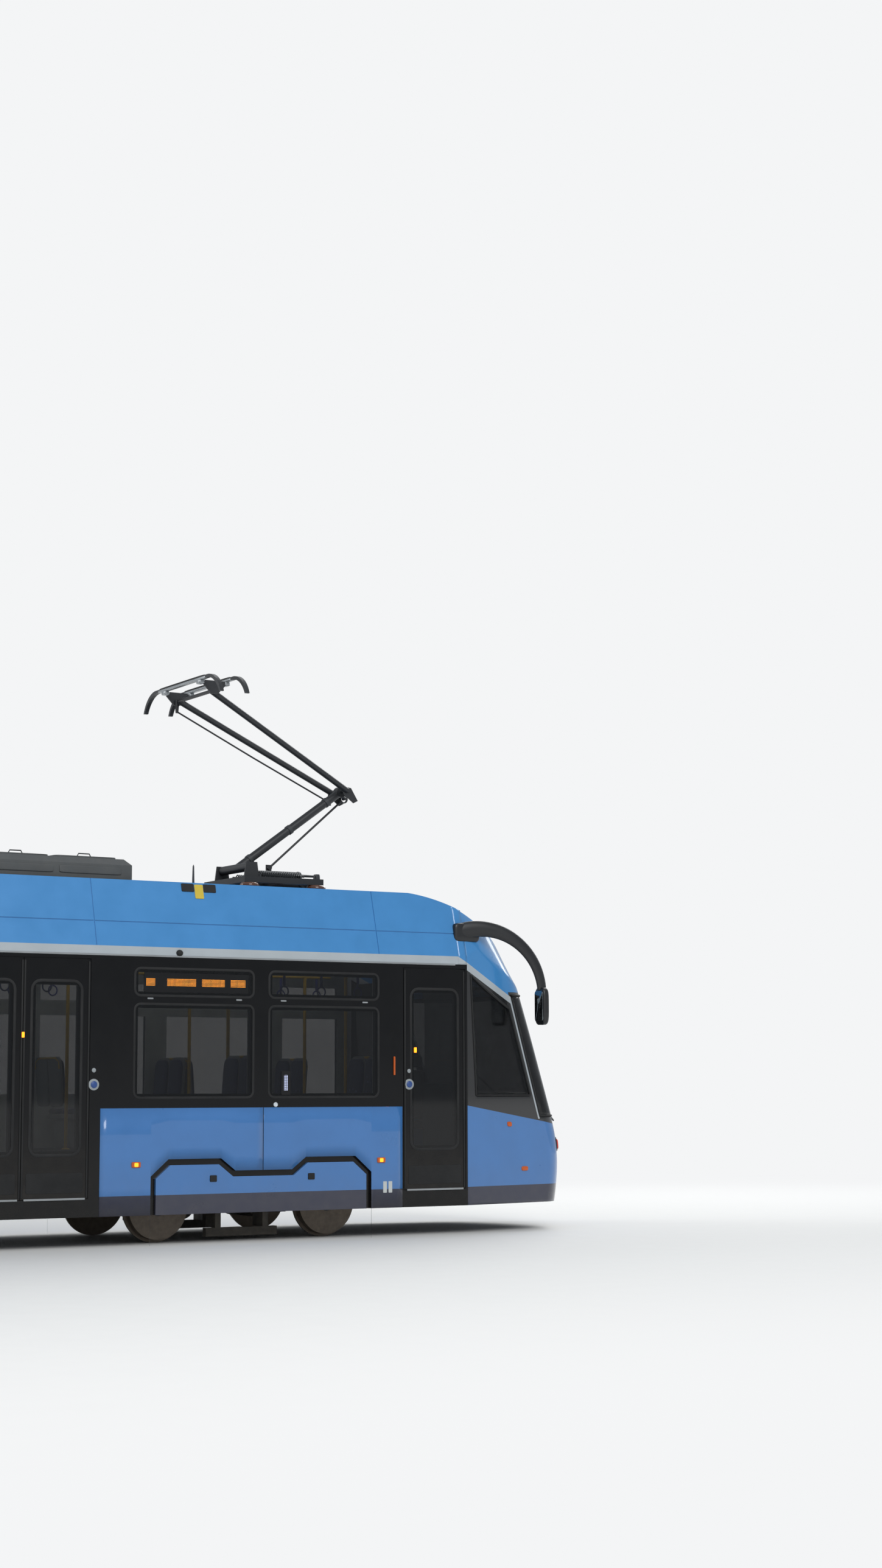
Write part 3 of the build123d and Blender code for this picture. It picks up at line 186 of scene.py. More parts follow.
@dataclass(frozen=True)
class Finish:
    """A real surface: its colour, gloss, fine relief and how unevenly it has aged."""

    name: str
    colour: str
    roughness: float = 0.5
    metallic: float = 0.0
    coat: float = 0.0
    mottle: float = 0.04
    mottle_mm: float = 260.0
    grain_mm: float = 3.0
    grain_depth_mm: float = 0.05
    dust: float = 0.0
    dust_top: float = 1.2
    zones: tuple[Zone, ...] = ()
    stretch: Triple = (1.0, 1.0, 1.0)
    specular: float = 0.5

    def material(self) -> bpy.types.Material:
        """Build the node material once and return it from then on.

        Returns:
            The material.
        """
        made = bpy.data.materials.get(self.name)
        if not made:
            made = bpy.data.materials.new(self.name)
            made.use_nodes = True
            graph = Graph(made.node_tree)
            graph.add("ShaderNodeOutputMaterial", inputs={"Surface": self.surface(graph)})
        return made

    def surface(self, graph: Graph) -> bpy.types.NodeSocket:
        """Shader with the finish's metal and lacquer, dressed with the rest.

        Args:
            graph: the material's nodes.

        Returns:
            The shader's output socket.
        """
        shader = graph.add("ShaderNodeBsdfPrincipled", inputs={
            "Metallic": self.metallic, "Coat Weight": self.coat, "Coat Roughness": 0.04,
            "Specular IOR Level": self.specular})
        self.dress(graph, graph.place(), shader)
        return shader.outputs[0]

    def dress(self, graph: Graph, place: bpy.types.NodeSocket, shader: bpy.types.Node) -> None:
        """Link colour, roughness and relief to the shader.

        Args:
            graph: the material's nodes.
            place: the Object coordinates.
            shader: the surface shader.
        """
        stretched = graph.vector("MULTIPLY", place, self.stretch)
        cloud = graph.noise(stretched, 1 / (self.mottle_mm * MM), 3.0, Roughness=0.55)
        tone = graph.spread(cloud, 1 - self.mottle, 1 + self.mottle, CLOUD_LIMITS)
        toned = graph.vector("SCALE", self.zoned(graph, place), tone)
        if self.dust:
            toned = self.dusted(graph, place, toned)
        graph.tree.links.new(toned, shader.inputs["Base Color"])
        gloss = graph.spread(cloud, self.roughness * 0.85, min(1.0, self.roughness * 1.15), CLOUD_LIMITS)
        graph.tree.links.new(gloss, shader.inputs["Roughness"])
        grain = graph.noise(stretched, 1 / (self.grain_mm * MM), 2.0)
        graph.relief(shader, grain, self.grain_depth_mm * MM, 0.5)

    def zoned(self, graph: Graph, place: bpy.types.NodeSocket) -> bpy.types.NodeSocket:
        """Mix the zones' colours over the base colour.

        Args:
            graph: the material's nodes.
            place: the Object coordinates.

        Returns:
            The colour socket.
        """
        base = graph.add("ShaderNodeRGB")
        base.outputs[0].default_value = linear(self.colour)
        colour = base.outputs[0]
        if not self.zones:
            return colour
        split = graph.add("ShaderNodeSeparateXYZ", inputs={0: place}).outputs
        length = graph.number("ABSOLUTE", split[0])
        folded = graph.add("ShaderNodeCombineXYZ", inputs={0: length, 1: split[1], 2: split[2]}).outputs[0]
        for zone in self.zones:
            mask = None
            for *normal, least in zone.limits:
                inside = graph.number("GREATER_THAN", graph.vector("DOT_PRODUCT", folded, normal), least)
                mask = inside if mask is None else graph.number("MULTIPLY", mask, inside)
            colour = graph.mix(mask, colour, zone.colour)
        return colour

    def dusted(self, graph: Graph, place: bpy.types.NodeSocket,
               colour: bpy.types.NodeSocket) -> bpy.types.NodeSocket:
        """Fade road dust in toward the ground.

        Args:
            graph: the material's nodes.
            place: the Object coordinates.
            colour: the clean colour.

        Returns:
            The dusty colour socket.
        """
        height = graph.add("ShaderNodeSeparateXYZ", inputs={0: place}).outputs[2]
        low = graph.spread(height, 1.0, 0.0, (0.1, self.dust_top))
        amount = graph.number("MULTIPLY", low, graph.noise(place, 9.0, 5.0))
        return graph.mix(graph.number("MULTIPLY", amount, self.dust), colour, ROAD_DUST)


@dataclass(frozen=True)
class Glass(Finish):
    """Tinted safety glass, clear enough to show what stands behind it."""

    tint: float = 0.55

    def surface(self, graph: Graph) -> bpy.types.NodeSocket:
        """Smooth dark pane with a faint film, which covers a share of what lies behind it.

        Args:
            graph: the material's nodes.

        Returns:
            The output socket of film and pane mixed.
        """
        film = graph.noise(graph.place(), 4.0, 3.0)
        return graph.add("ShaderNodeBsdfPrincipled", inputs={
            "Base Color": self.colour, "Roughness": graph.spread(film, 0.01, 0.05),
            "Alpha": graph.spread(film, self.tint * 0.96, min(1.0, self.tint * 1.04)),
            "IOR": 1.52, "Specular IOR Level": 0.5}).outputs[0]


@dataclass(frozen=True)
class Glow(Finish):
    """A lamp or lit board: a lens with light behind it, in dots if dot_mm is set."""

    strength: float = 4.0
    dot_mm: float = 0.0
    plane: Triple = (1.0, 0.0, 1.0)
    dot_radius: float = 0.27

    def dress(self, graph: Graph, place: bpy.types.NodeSocket, shader: bpy.types.Node) -> None:
        """Link the lens, and the light in a square grid of dots for a board.

        Args:
            graph: the material's nodes.
            place: the Object coordinates.
            shader: the surface shader.
        """
        super().dress(graph, place, shader)
        shader.inputs["Emission Color"].default_value = linear(self.colour)
        shader.inputs["Emission Strength"].default_value = self.strength
        if not self.dot_mm:
            return
        scaled = graph.vector("SCALE", place, 1 / (self.dot_mm * MM))
        middle = graph.vector("SUBTRACT", graph.vector("FRACTION", scaled), (0.5, 0.5, 0.5))
        away = graph.vector("LENGTH", graph.vector("MULTIPLY", middle, self.plane))
        lit = graph.number("LESS_THAN", away, self.dot_radius)
        shown = graph.mix(lit, UNLIT_DOT, self.colour)
        for socket in ("Emission Color", "Base Color"):
            graph.tree.links.new(shown, shader.inputs[socket])


@dataclass(frozen=True)
class Moquette(Finish):
    """Woven seat cloth: two thread directions and small flecks."""

    fleck: str = "6f7fc0"
    fleck_mm: float = 70.0
    fleck_radius: float = 0.13
    thread_mm: float = 6.0

    def dress(self, graph: Graph, place: bpy.types.NodeSocket, shader: bpy.types.Node) -> None:
        """Link the weave's relief and the flecked colour.

        Args:
            graph: the material's nodes.
            place: the Object coordinates.
            shader: the surface shader.
        """
        cells = graph.add("ShaderNodeTexVoronoi", inputs={
            "Vector": place, "Scale": 1 / (self.fleck_mm * MM), "Randomness": 0.35}).outputs["Distance"]
        colour = graph.mix(graph.number("LESS_THAN", cells, self.fleck_radius), self.colour, self.fleck)
        graph.tree.links.new(colour, shader.inputs["Base Color"])
        shader.inputs["Roughness"].default_value = 0.9
        shader.inputs["Sheen Weight"].default_value = 0.4
        waves = [graph.add("ShaderNodeTexWave", {"bands_direction": direction}, {
            "Vector": place, "Scale": BANDS_TO_THE_METRE / (self.thread_mm * MM)}).outputs[1] for direction in "XZ"]
        graph.relief(shader, graph.number("ADD", *waves), 0.6 * MM, 0.6)


@dataclass(frozen=True)
class Ground(Finish):
    """Pale painted studio floor that fades into the backdrop's own white toward the horizon.

    The distance from the vehicle is measured with its length squeezed, so that the fade runs round it evenly.
    """

    squeeze: Triple = (0.42, 1.0, 1.0)
    fade: Pair = (6.5, 15.0)

    def surface(self, graph: Graph) -> bpy.types.NodeSocket:
        """Mix the painted floor with a plain white by distance, for camera rays and mirrors.

        Args:
            graph: the material's nodes.

        Returns:
            The output socket of floor and white mixed.
        """
        painted = super().surface(graph)
        squeezed = graph.vector("MULTIPLY", graph.place(), self.squeeze)
        share = graph.spread(graph.vector("LENGTH", squeezed), 0.0, 1.0, self.fade, "SMOOTHSTEP")
        rays = graph.add("ShaderNodeLightPath").outputs
        seen = graph.number("MAXIMUM", rays["Is Camera Ray"], rays["Is Glossy Ray"])
        seen = graph.number("MAXIMUM", seen, rays["Is Transmission Ray"])
        white = graph.add("ShaderNodeEmission", inputs={0: BACKDROP, 1: 1.0}).outputs[0]
        faded = graph.number("MULTIPLY", share, seen)
        return graph.add("ShaderNodeMixShader", inputs={0: faded, 1: painted, 2: white}).outputs[0]


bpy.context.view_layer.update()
HALF_LENGTH = max(abs(v) for v in (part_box("front_nose")[1][0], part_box("rear_nose")[0][0]))
HALF_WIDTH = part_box("front_side_left")[1][1]
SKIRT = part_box("front_side_left")[0][2]
ROOF_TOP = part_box("front_roof")[1][2]
CAR_END = -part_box("rear_side_left")[1][0]
MIDDLE_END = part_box("middle_side_left")[1][0]

SILL = RAIL + 1.23
NAVY_TOP = RAIL + 0.43
SILVER_LOW = RAIL + 2.63
SILVER_TOP = RAIL + 2.71
FASCIA_LEAN = 0.17
ROOF_DECK = RAIL + 2.84
WALL = 0.052

# Lines on the nose's side view, each point as its station from the tip and its height over the rail.
PILLAR_LOW = (0.575, 1.12)
PILLAR_HIGH = (0.975, 2.34)
PILLAR_WIDTH = 0.022
STRIP_REAR = (1.675, 2.71)
STRIP_REAR_LOW = (1.675, 2.63)
STRIP_FRONT = (0.928, 2.30)
STRIP_FRONT_LOW = (0.969, 2.255)
BELT_REAR = (1.57, 1.23)
BELT_FRONT = (0.684, 1.09)
CREASE_REAR = (1.675, 2.94)
CREASE_FRONT = (0.85, 2.44)


def pillar_line(shift: float) -> tuple[Pair, Pair]:
    """Two points of the windscreen pillar's line, moved back from the tip by a distance."""
    return (PILLAR_LOW[0] + shift, PILLAR_LOW[1]), (PILLAR_HIGH[0] + shift, PILLAR_HIGH[1])


def over(first: Pair, second: Pair) -> Quad:
    """Limit on the upper or rearward side of a line drawn on the nose's side view.

    Args:
        first: station from the nose tip and height of one point.
        second: the same of a point nearer the tip, or higher up on a steep line.

    Returns:
        (nx, ny, nz, least) for a Zone.
    """
    x0, z0 = HALF_LENGTH - first[0], first[1] + RAIL
    x1, z1 = HALF_LENGTH - second[0], second[1] + RAIL
    nx, nz = z0 - z1, x1 - x0
    return nx, 0.0, nz, nx * x0 + nz * z0


def under(first: Pair, second: Pair) -> Quad:
    """Limit on the lower or forward side of the same line."""
    nx, ny, nz, least = over(first, second)
    return -nx, ny, -nz, -least


def above_z(height: float) -> Quad:
    """Limit over a height above the rail."""
    return 0.0, 0.0, 1.0, RAIL + height


def below_z(height: float) -> Quad:
    """Limit under a height above the rail."""
    return 0.0, 0.0, -1.0, -(RAIL + height)


def inside_y(depth: float) -> tuple[Quad, Quad]:
    """Limits that keep what lies further in than a depth from both sides."""
    least = -(HALF_WIDTH - depth)
    return (0.0, 1.0, 0.0, least), (0.0, -1.0, 0.0, least)


BLUE = "3671b0"
SKY = "3883c0"
NAVY = "161d38"
SILVER = "a9b1b6"
BLACK = "0b0c0e"
LINER = "c9cccb"
SKIRT_BAND = Zone(NAVY, ((0.0, 0.0, -1.0, -NAVY_TOP),))
SCREEN_FOOT = above_z(1.09)
PILLAR = pillar_line(0.0)
PILLAR_FRONT = under(*pillar_line(PILLAR_WIDTH))
STRIP, STRIP_LOW = (STRIP_REAR, STRIP_FRONT), (STRIP_REAR_LOW, STRIP_FRONT_LOW)

# Two-pack enamel sprayed on primed steel and plastic panels. It gives deep colour under a clear, slightly
# rippled gloss, a silver line that parts the two blues and climbs down the pillar, and dust over the road.
NOSE_ENAMEL = Finish(
    "enamel_nose", BLUE, roughness=0.32, coat=0.8, dust=0.14, dust_top=0.8, grain_mm=4.0, zones=(
        Zone(SKY, (above_z(2.25), over(*STRIP))),
        Zone(BLACK, (over(BELT_REAR, BELT_FRONT), under(*STRIP_LOW))),
        Zone(BLACK, (SCREEN_FOOT, below_z(2.37), PILLAR_FRONT)),
        Zone(SILVER, (over(*STRIP_LOW), under(*STRIP), over(*PILLAR))),
        Zone(SILVER, (SCREEN_FOOT, below_z(2.31), PILLAR_FRONT, over(*PILLAR))),
        SKIRT_BAND,
    ))
ROOF_ENAMEL = Finish(
    "enamel_roof", SKY, roughness=0.34, coat=0.7, grain_mm=4.0, zones=(
        Zone(SILVER, ((0.0, 0.0, -1.0, -SILVER_TOP),)),
        Zone("4b5054", inside_y(0.20)),
        Zone("d3d5d3", (*inside_y(WALL), below_z(2.80))),
    ))
BLUE_ENAMEL = Finish("enamel_blue", BLUE, roughness=0.32, coat=0.8, dust=0.16, dust_top=0.8, grain_mm=4.0,
                     zones=(SKIRT_BAND,))
# The same enamel in black on walls and doors: near mirror-smooth, so that the band reads as one dark glass strip,
# with a pale laminate lining on the wall's inner face, seen through the panes.
BLACK_ENAMEL = Finish("enamel_black", "0a0b0d", roughness=0.16, dust=0.12, mottle=0.1, specular=0.28)
WALL_ENAMEL = Finish("enamel_wall", BLACK, roughness=0.16, dust=0.05, mottle=0.1, specular=0.28,
                     zones=(Zone(LINER, inside_y(WALL)),))
# EPDM rubber, extruded: a soft grey-black line that never shines round every pane and door leaf.
RUBBER = Finish("epdm_rubber", "151617", roughness=0.75, mottle=0.15, grain_mm=1.5, grain_depth_mm=0.1)
# Coated cloth of the gangway hoods: matt pleats with a coarse weave, dusty up to window height.
BELLOWS_CLOTH = Finish("coated_bellows_cloth", "24262a", roughness=0.8, mottle=0.12, grain_mm=2.5,
                       grain_depth_mm=0.3, dust=0.35, dust_top=3.0)
# Vinyl with raised studs, rolled and welded: a matt floor with a coarse, regular glint.
FLOOR = Finish("studded_vinyl", "3b3f45", roughness=0.7, mottle=0.1, grain_mm=12.0, grain_depth_mm=0.5)
# Baked powder coat on folded sheet: a fine orange-peel skin, sooty on the roof.
ROOF_GREY = Finish("powder_coat_grey", "43484b", roughness=0.55, mottle=0.12, grain_mm=2.0, dust=0.3, dust_top=6.0)
DARK_GREY = Finish("powder_coat_dark", "303336", roughness=0.5, mottle=0.15, grain_mm=2.0)
# Chassis paint brushed on cast and welded steel: patchy, and brown with thrown dirt.
CHASSIS = Finish("chassis_paint", "1e2022", roughness=0.65, mottle=0.25, mottle_mm=90.0, dust=0.6, dust_top=1.0)
# Rolled wheel steel: brown with brake dust, in uneven patches.
WHEEL_STEEL = Finish("rolled_steel", "6b6258", roughness=0.45, metallic=0.75, mottle=0.25, mottle_mm=60.0,
                     stretch=(1.0, 6.0, 1.0))
# Sprayed enamel on drawn tube: an even satin black along the collector's arms.
ARM_PAINT = Finish("arm_enamel", "26282b", roughness=0.45, mottle=0.06, grain_depth_mm=0.01)
# Pressed and sintered carbon: a dull, slightly metallic wearing strip.
CARBON = Finish("pressed_carbon", "17181a", roughness=0.6, metallic=0.2, grain_mm=1.0, grain_depth_mm=0.1)
# Extruded aluminium, anodised: pale metal with fine streaks along the section.
ALUMINIUM = Finish("extruded_aluminium", "a7abad", roughness=0.35, metallic=0.9, mottle=0.08,
                   stretch=(1.0, 1.0, 8.0))
# Glazed porcelain: wet-looking brown sheds with a cloudy glaze.
CERAMIC = Finish("glazed_porcelain", "5b3a2c", roughness=0.15, coat=0.5, mottle=0.12, mottle_mm=40.0)
# Powder-coated steel tube: warm yellow poles that catch a soft light line.
YELLOW = Finish("powder_coat_yellow", "d9b11f", roughness=0.35, mottle=0.05)
# Woven nylon webbing: matt violet-blue loops.
STRAP = Finish("nylon_strap", "3c3f8f", roughness=0.7, mottle=0.1, grain_mm=1.2, grain_depth_mm=0.3)
# Moulded ABS: grained and matt in the cab, and smoother on the mirror arms, with a faint gloss on their curve.
CAB_PLASTIC = Finish("textured_abs", "383b40", roughness=0.65, grain_mm=1.5, grain_depth_mm=0.2)
MIRROR_SHELL = Finish("moulded_abs_black", "15171a", roughness=0.42, coat=0.15, grain_mm=2.0)
# Silvered glass: a clean mirror.
MIRROR_GLASS = Finish("silvered_glass", "8a9296", roughness=0.03, metallic=1.0, mottle=0.02)
# Woven wool moquette: soft sheen, crossed threads and small pale flecks.
CLOTH = Moquette("moquette_blue", "222c63")
CAB_CLOTH = Moquette("moquette_grey", "2a2c30", fleck="3a3d42")
# Display glass and opal acrylic with light behind them: a dim desk screen and an even ceiling band.
SCREEN = Glow("display_glass", "1d2f3a", roughness=0.1, strength=0.3)
LIGHT_STRIP = Glow("opal_light_strip", "f2f4f0", roughness=0.5, strength=1.6)
# Chromed reflector bowl and the black ABS bezel round it: a bright ring in a dark frame.
REFLECTOR = Finish("chromed_reflector", "d5d9dc", roughness=0.08, metallic=1.0, mottle=0.02)
BEZEL = Finish("lamp_bezel_abs", "0d0e10", roughness=0.2, specular=0.35)
# Moulded ABS of the door buttons: a blue cap in a grey rim.
BLUE_ABS = Finish("button_blue_abs", "2b4a86", roughness=0.4)
RIM_GREY = Finish("button_rim_grey", "8f9598", roughness=0.45, mottle=0.05)
# Oil-tempered spring wire: dark, with a low metallic glint on each coil.
SPRING_STEEL = Finish("spring_steel", "55585a", roughness=0.4, metallic=0.7)
# Painted aluminium plates without print: flat yellow and pale grey patches.
PALE_SIGN = Finish("bare_sign_yellow", "c9b13a", roughness=0.45, mottle=0.05)
PLATE = Finish("bare_plate", "c2c6c4", roughness=0.45, mottle=0.05)
# Injection-moulded polypropylene: plain grey seat shells with a dull sheen.
SEAT_SHELL = Finish("moulded_pp_grey", "8c9196", roughness=0.5)
# Grey-tinted laminated glass: dark outside, with the seats and poles just visible behind it.
SIDE_GLASS = Glass("tinted_side_glass", "0a0d10", tint=0.55)
SCREEN_GLASS = Glass("tinted_screen_glass", "0a0e11", tint=0.45)
# Moulded acrylic lenses over lamps and reflectors: lit amber, dull orange, clear and red.
AMBER = Glow("amber_lens", "ff8a1a", roughness=0.3, strength=2.5)
ORANGE_DULL = Glow("orange_lens", "b4521c", roughness=0.3, strength=0.15)
WHITE_LAMP = Glow("headlamp_lens", "c3cbd0", roughness=0.08, coat=1.0, strength=0.12, mottle=0.2, mottle_mm=14.0)
RED_LAMP = Glow("tail_lens", "8e1414", roughness=0.25, strength=0.4)
# Matrix boards switched on without a message: small amber or white points on a dark screen.
BOARD = Glow("led_board", "ff9b21", roughness=0.5, strength=1.5, dot_mm=12.0)
BOARD_FRONT = Glow("led_board_front", "ff9b21", roughness=0.5, strength=1.5, dot_mm=16.0, plane=(0.0, 1.0, 0.0))
BOARD_WHITE = Glow("led_board_white", "cdd6ff", roughness=0.5, strength=1.6, dot_mm=16.0)
# Matt studio paint: it takes the vehicle's shadow and no glare.
FLOOR_FINISH = Ground("pale_floor", "e4e4e2", roughness=0.95, mottle=0.01, specular=0.1)


class Meshes:
    """Collects plain shapes as whole arrays and makes one object of them."""

    def __init__(self) -> None:
        """Start empty."""
        self.points: list[np.ndarray] = []
        self.faces: list[np.ndarray] = []
        self.count = 0

    def add(self, points: np.ndarray, faces: np.ndarray) -> None:
        """Add points (n, 3) and quads (m, 4) that index them.

        Args:
            points: the points.
            faces: the faces, numbered from these points' first.
        """
        self.points.append(points.reshape(-1, 3))
        self.faces.append(faces.reshape(-1, 4) + self.count)
        self.count += len(self.points[-1])

    def grid(self, surface: np.ndarray, wrap: bool = False, flip: bool = False) -> None:
        """Add a surface given as a grid of points (rows, columns, 3).

        Args:
            surface: the points.
            wrap: joins the last column to the first.
            flip: turns the faces over.
        """
        rows, columns = surface.shape[:2]
        index = np.arange(rows * columns).reshape(rows, columns)
        if wrap:
            index = np.concatenate((index, index[:, :1]), axis=1)
        quads = np.stack((index[:-1, :-1], index[:-1, 1:], index[1:, 1:], index[1:, :-1]), axis=-1)
        self.add(surface, quads[..., ::-1] if flip else quads)

    def box(self, low: Triple, high: Triple) -> None:
        """Add a box between two corners: each of its own corners takes low or high on every axis.

        Args:
            low: the corner with the low coordinates.
            high: the opposite corner.
        """
        bits = np.array([(0, 0, 0), (1, 0, 0), (1, 1, 0), (0, 1, 0), (0, 0, 1), (1, 0, 1), (1, 1, 1), (0, 1, 1)])
        quads = np.array([(0, 3, 2, 1), (4, 5, 6, 7), (0, 1, 5, 4), (1, 2, 6, 5), (2, 3, 7, 6), (3, 0, 4, 7)])
        self.add(np.array(low) + bits * (np.array(high) - np.array(low)), quads)

    def tube(self, path: Sequence | np.ndarray, radius: float | np.ndarray, sides: int = 16, flat: float = 1.0) -> None:
        """Carry a closed round section along a path.

        Each ring is path + radius (cos a * normal + flat sin a * binormal), and both ends close on a point.

        Args:
            path: points (n, 3).
            radius: one radius or one for each point.
            sides: points of the section.
            flat: the section's second width over its first.
        """
        path = np.asarray(path, float)
        along = np.gradient(path, axis=0)
        along /= np.linalg.norm(along, axis=1, keepdims=True)
        helper = np.array([0.0, 1.0, 0.0]) if abs(along[:, 1]).max() < 0.9 else np.array([0.0, 0.0, 1.0])
        normal = np.cross(along, helper)
        normal /= np.linalg.norm(normal, axis=1, keepdims=True)
        binormal = np.cross(along, normal)
        angle = turns(sides)[None, :, None]
        radius = np.broadcast_to(np.asarray(radius, float), (len(path),))[:, None, None]
        ring = normal[:, None] * np.cos(angle) + flat * binormal[:, None] * np.sin(angle)
        ends = [np.repeat(path[i][None, None], sides, axis=1) for i in (0, -1)]
        self.grid(np.concatenate((ends[0], path[:, None] + radius * ring, ends[1])), wrap=True)

    def layers(self, outlines: list[np.ndarray], depths: list[float], side: Side) -> None:
        """Join outlines (n, 2) of X and Z, each held at its own depth out from a side wall, into one closed form.

        Args:
            outlines: the outlines, all with the same number of points.
            depths: each outline's distance from the side wall.
            side: the side of the vehicle.
        """
        rows = [np.column_stack((o[:, 0], np.full(len(o), side.value * (HALF_WIDTH + d)), o[:, 1]))
                for o, d in zip(outlines, depths)]
        self.grid(np.stack(rows), wrap=True)

    def plaque(self, rect: Quad, side: Side, depth: float, radius: float = 0.01) -> None:
        """Plate with rounded corners and a softened edge on a side wall; rect is (x0, x1, z0, z1).

        Args:
            rect: (x0, x1, z0, z1) of the opening or plate.
            side: the side of the vehicle.
            depth: how far it stands out.
            radius: radius of the corners.
        """
        x0, x1, z0, z1 = rect
        soft = min(depth, radius) * 0.4
        outer = rounded(x0, x1, z0, z1, radius)
        inner = rounded(x0 + soft, x1 - soft, z0 + soft, z1 - soft, max(radius - soft, 0.0005))
        middle = np.broadcast_to(np.array([(x0 + x1) / 2, (z0 + z1) / 2]), outer.shape)
        self.layers([middle, outer, outer, inner, middle], [0.0, 0.0, depth - soft, depth, depth], side)

    def gasket(self, rect: Quad, side: Side, width: float, depth: float, radius: float) -> None:
        """Rubber ring round an opening: its section is a low arch over the opening's rounded outline.

        Args:
            rect: (x0, x1, z0, z1) of the opening or plate.
            side: the side of the vehicle.
            width: width of the ring.
            depth: how far it stands out.
            radius: radius of the corners.
        """
        x0, x1, z0, z1 = rect
        inner = rounded(x0, x1, z0, z1, radius)
        outer = rounded(x0 - width, x1 + width, z0 - width, z1 + width, radius + width)
        low, high = (inner * 3 + outer) / 4, (inner + outer * 3) / 4
        self.layers([outer, outer, high, low, inner, inner, outer],
                    [-0.002, depth * 0.5, depth, depth, depth * 0.4, -0.012, -0.002], side)

    def pillow(self, centre: Sequence, half: Sequence, power: float = 0.3, turn: np.ndarray | None = None,
               pull: float = 0.0, crown: float = 0.0, welt: float = 0.0, around: int = 32) -> None:
        """Superellipsoid: half sizes times signed powers of the cosines and sines of two angles.

        Args:
            centre: its middle.
            half: half sizes.
            power: 1 is an ellipsoid and near 0 a box.
            turn: rotation matrix.
            pull: share by which the sides pull in between the corners.
            crown: share by which the top rises toward its middle.
            welt: share by which the seam's row stands out.
            around: columns of the grid.
        """
        rows = np.array([-90, -75, -60, -45, -30, -15, -4, 0, 4, 15, 30, 45, 60, 75, 90])
        a, t = np.meshgrid(rows * math.pi / 180, turns(around) + math.pi / around, indexing="ij")
        reach = np.abs(np.cos(a)) ** power * (1 - pull * np.cos(2 * t) ** 2) * (1 + welt * (a == 0))
        x = reach * np.sign(np.cos(t)) * np.abs(np.cos(t)) ** power
        y = reach * np.sign(np.sin(t)) * np.abs(np.sin(t)) ** power
        z = np.sign(a) * np.abs(np.sin(a)) ** power * (1 + crown * (1 - np.clip(x**2 + y**2, 0, 1)) * (a > 0))
        points = np.stack((x, y, z), axis=-1) * np.array(half)
        if turn is not None:
            points = points @ turn.T
        self.grid(points + np.array(centre), wrap=True)

    def lathe(self, origin: Sequence, axis: int, profile: Sequence, sides: int = 24) -> None:
        """Turn a profile of (distance along the axis, radius) round an axis (0, 1 or 2) through origin.

        Args:
            origin: the point on the axis from which the profile is measured.
            axis: the axis of turning.
            profile: the profile's points.
            sides: number of sides round the axis.
        """
        along, radius = np.asarray(profile, float).T
        ring = np.zeros((len(along), sides, 3))
        ring[..., axis] = along[:, None]
        ring[..., (axis + 1) % 3] = radius[:, None] * np.cos(turns(sides))
        ring[..., (axis + 2) % 3] = radius[:, None] * np.sin(turns(sides))
        self.grid(ring + np.array(origin), wrap=True)

    def object(self, name: str, finish: Finish, body: str, bevel: float = 0.0, crease: float = 35.0,
               centre: Triple | None = None) -> bpy.types.Object:
        """Make the object, clean its seams, dress it and let it ride.

        Args:
            name: the piece's name.
            finish: what it is made of.
            body: the CAD body it rides on, or nothing for a piece between two, which then rides on neither.
            bevel: width of rounded edges.
            crease: edges sharper than this many degrees stay sharp.
            centre: for an open sheet, a point that its faces turn away from.

        Returns:
            The object.
        """
        mesh = bpy.data.meshes.new(name)
        points, faces = np.concatenate(self.points), np.concatenate(self.faces)
        if centre is not None:
            corner = points[faces]
            normal = np.cross(corner[:, 2] - corner[:, 0], corner[:, 3] - corner[:, 1])
            inward = np.einsum("ij,ij->i", normal, corner.mean(axis=1) - np.array(centre)) < 0
            faces[inward] = faces[inward][:, ::-1]
        mesh.vertices.add(len(points))
        mesh.vertices.foreach_set("co", points.ravel())
        mesh.loops.add(faces.size)
        mesh.loops.foreach_set("vertex_index", faces.ravel())
        mesh.polygons.add(len(faces))
        mesh.polygons.foreach_set("loop_start", np.arange(0, faces.size, 4))
        mesh.update()
        mesh.validate()
        obj = bpy.data.objects.new(name, mesh)
        bpy.context.scene.collection.objects.link(obj)
        clean(mesh, closed=centre is None)
        mesh.materials.append(finish.material())
        mesh.polygons.foreach_set("use_smooth", np.ones(len(mesh.polygons), bool))
        mesh.set_sharp_from_angle(angle=math.radians(crease))
        if bevel:
            soft = obj.modifiers.new("rounded_edges", "BEVEL")
            soft.width = bevel
            soft.segments = 2
            soft.limit_method = "ANGLE"
        if body:
            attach(obj, body)
        LOG.info("piece %s: %d faces on %s", name, len(faces), body or "two bodies")
        return obj


def clean(mesh: bpy.types.Mesh, closed: bool, least: float = 0.00005) -> None:
    """Merge doubled points, drop faces without area and turn a closed form's faces outward.

    Args:
        mesh: the mesh.
        closed: whether it is a closed form.
        least: distance under which points merge.
    """
    work = bmesh.new()
    work.from_mesh(mesh)
    bmesh.ops.remove_doubles(work, verts=work.verts, dist=least)
    bmesh.ops.dissolve_degenerate(work, edges=work.edges, dist=least)
    if closed:
        bmesh.ops.recalc_face_normals(work, faces=work.faces)
    work.to_mesh(mesh)
    work.free()


def thicken(obj: bpy.types.Object, depth: float, outward: bool = False) -> None:
    """Give an open sheet its thickness, inward or outward.

    Args:
        obj: the sheet's object.
        depth: the thickness.
        outward: grows it outward.
    """
    wall = obj.modifiers.new("wall", "SOLIDIFY")
    wall.thickness = depth
    wall.offset = 1 if outward else -1


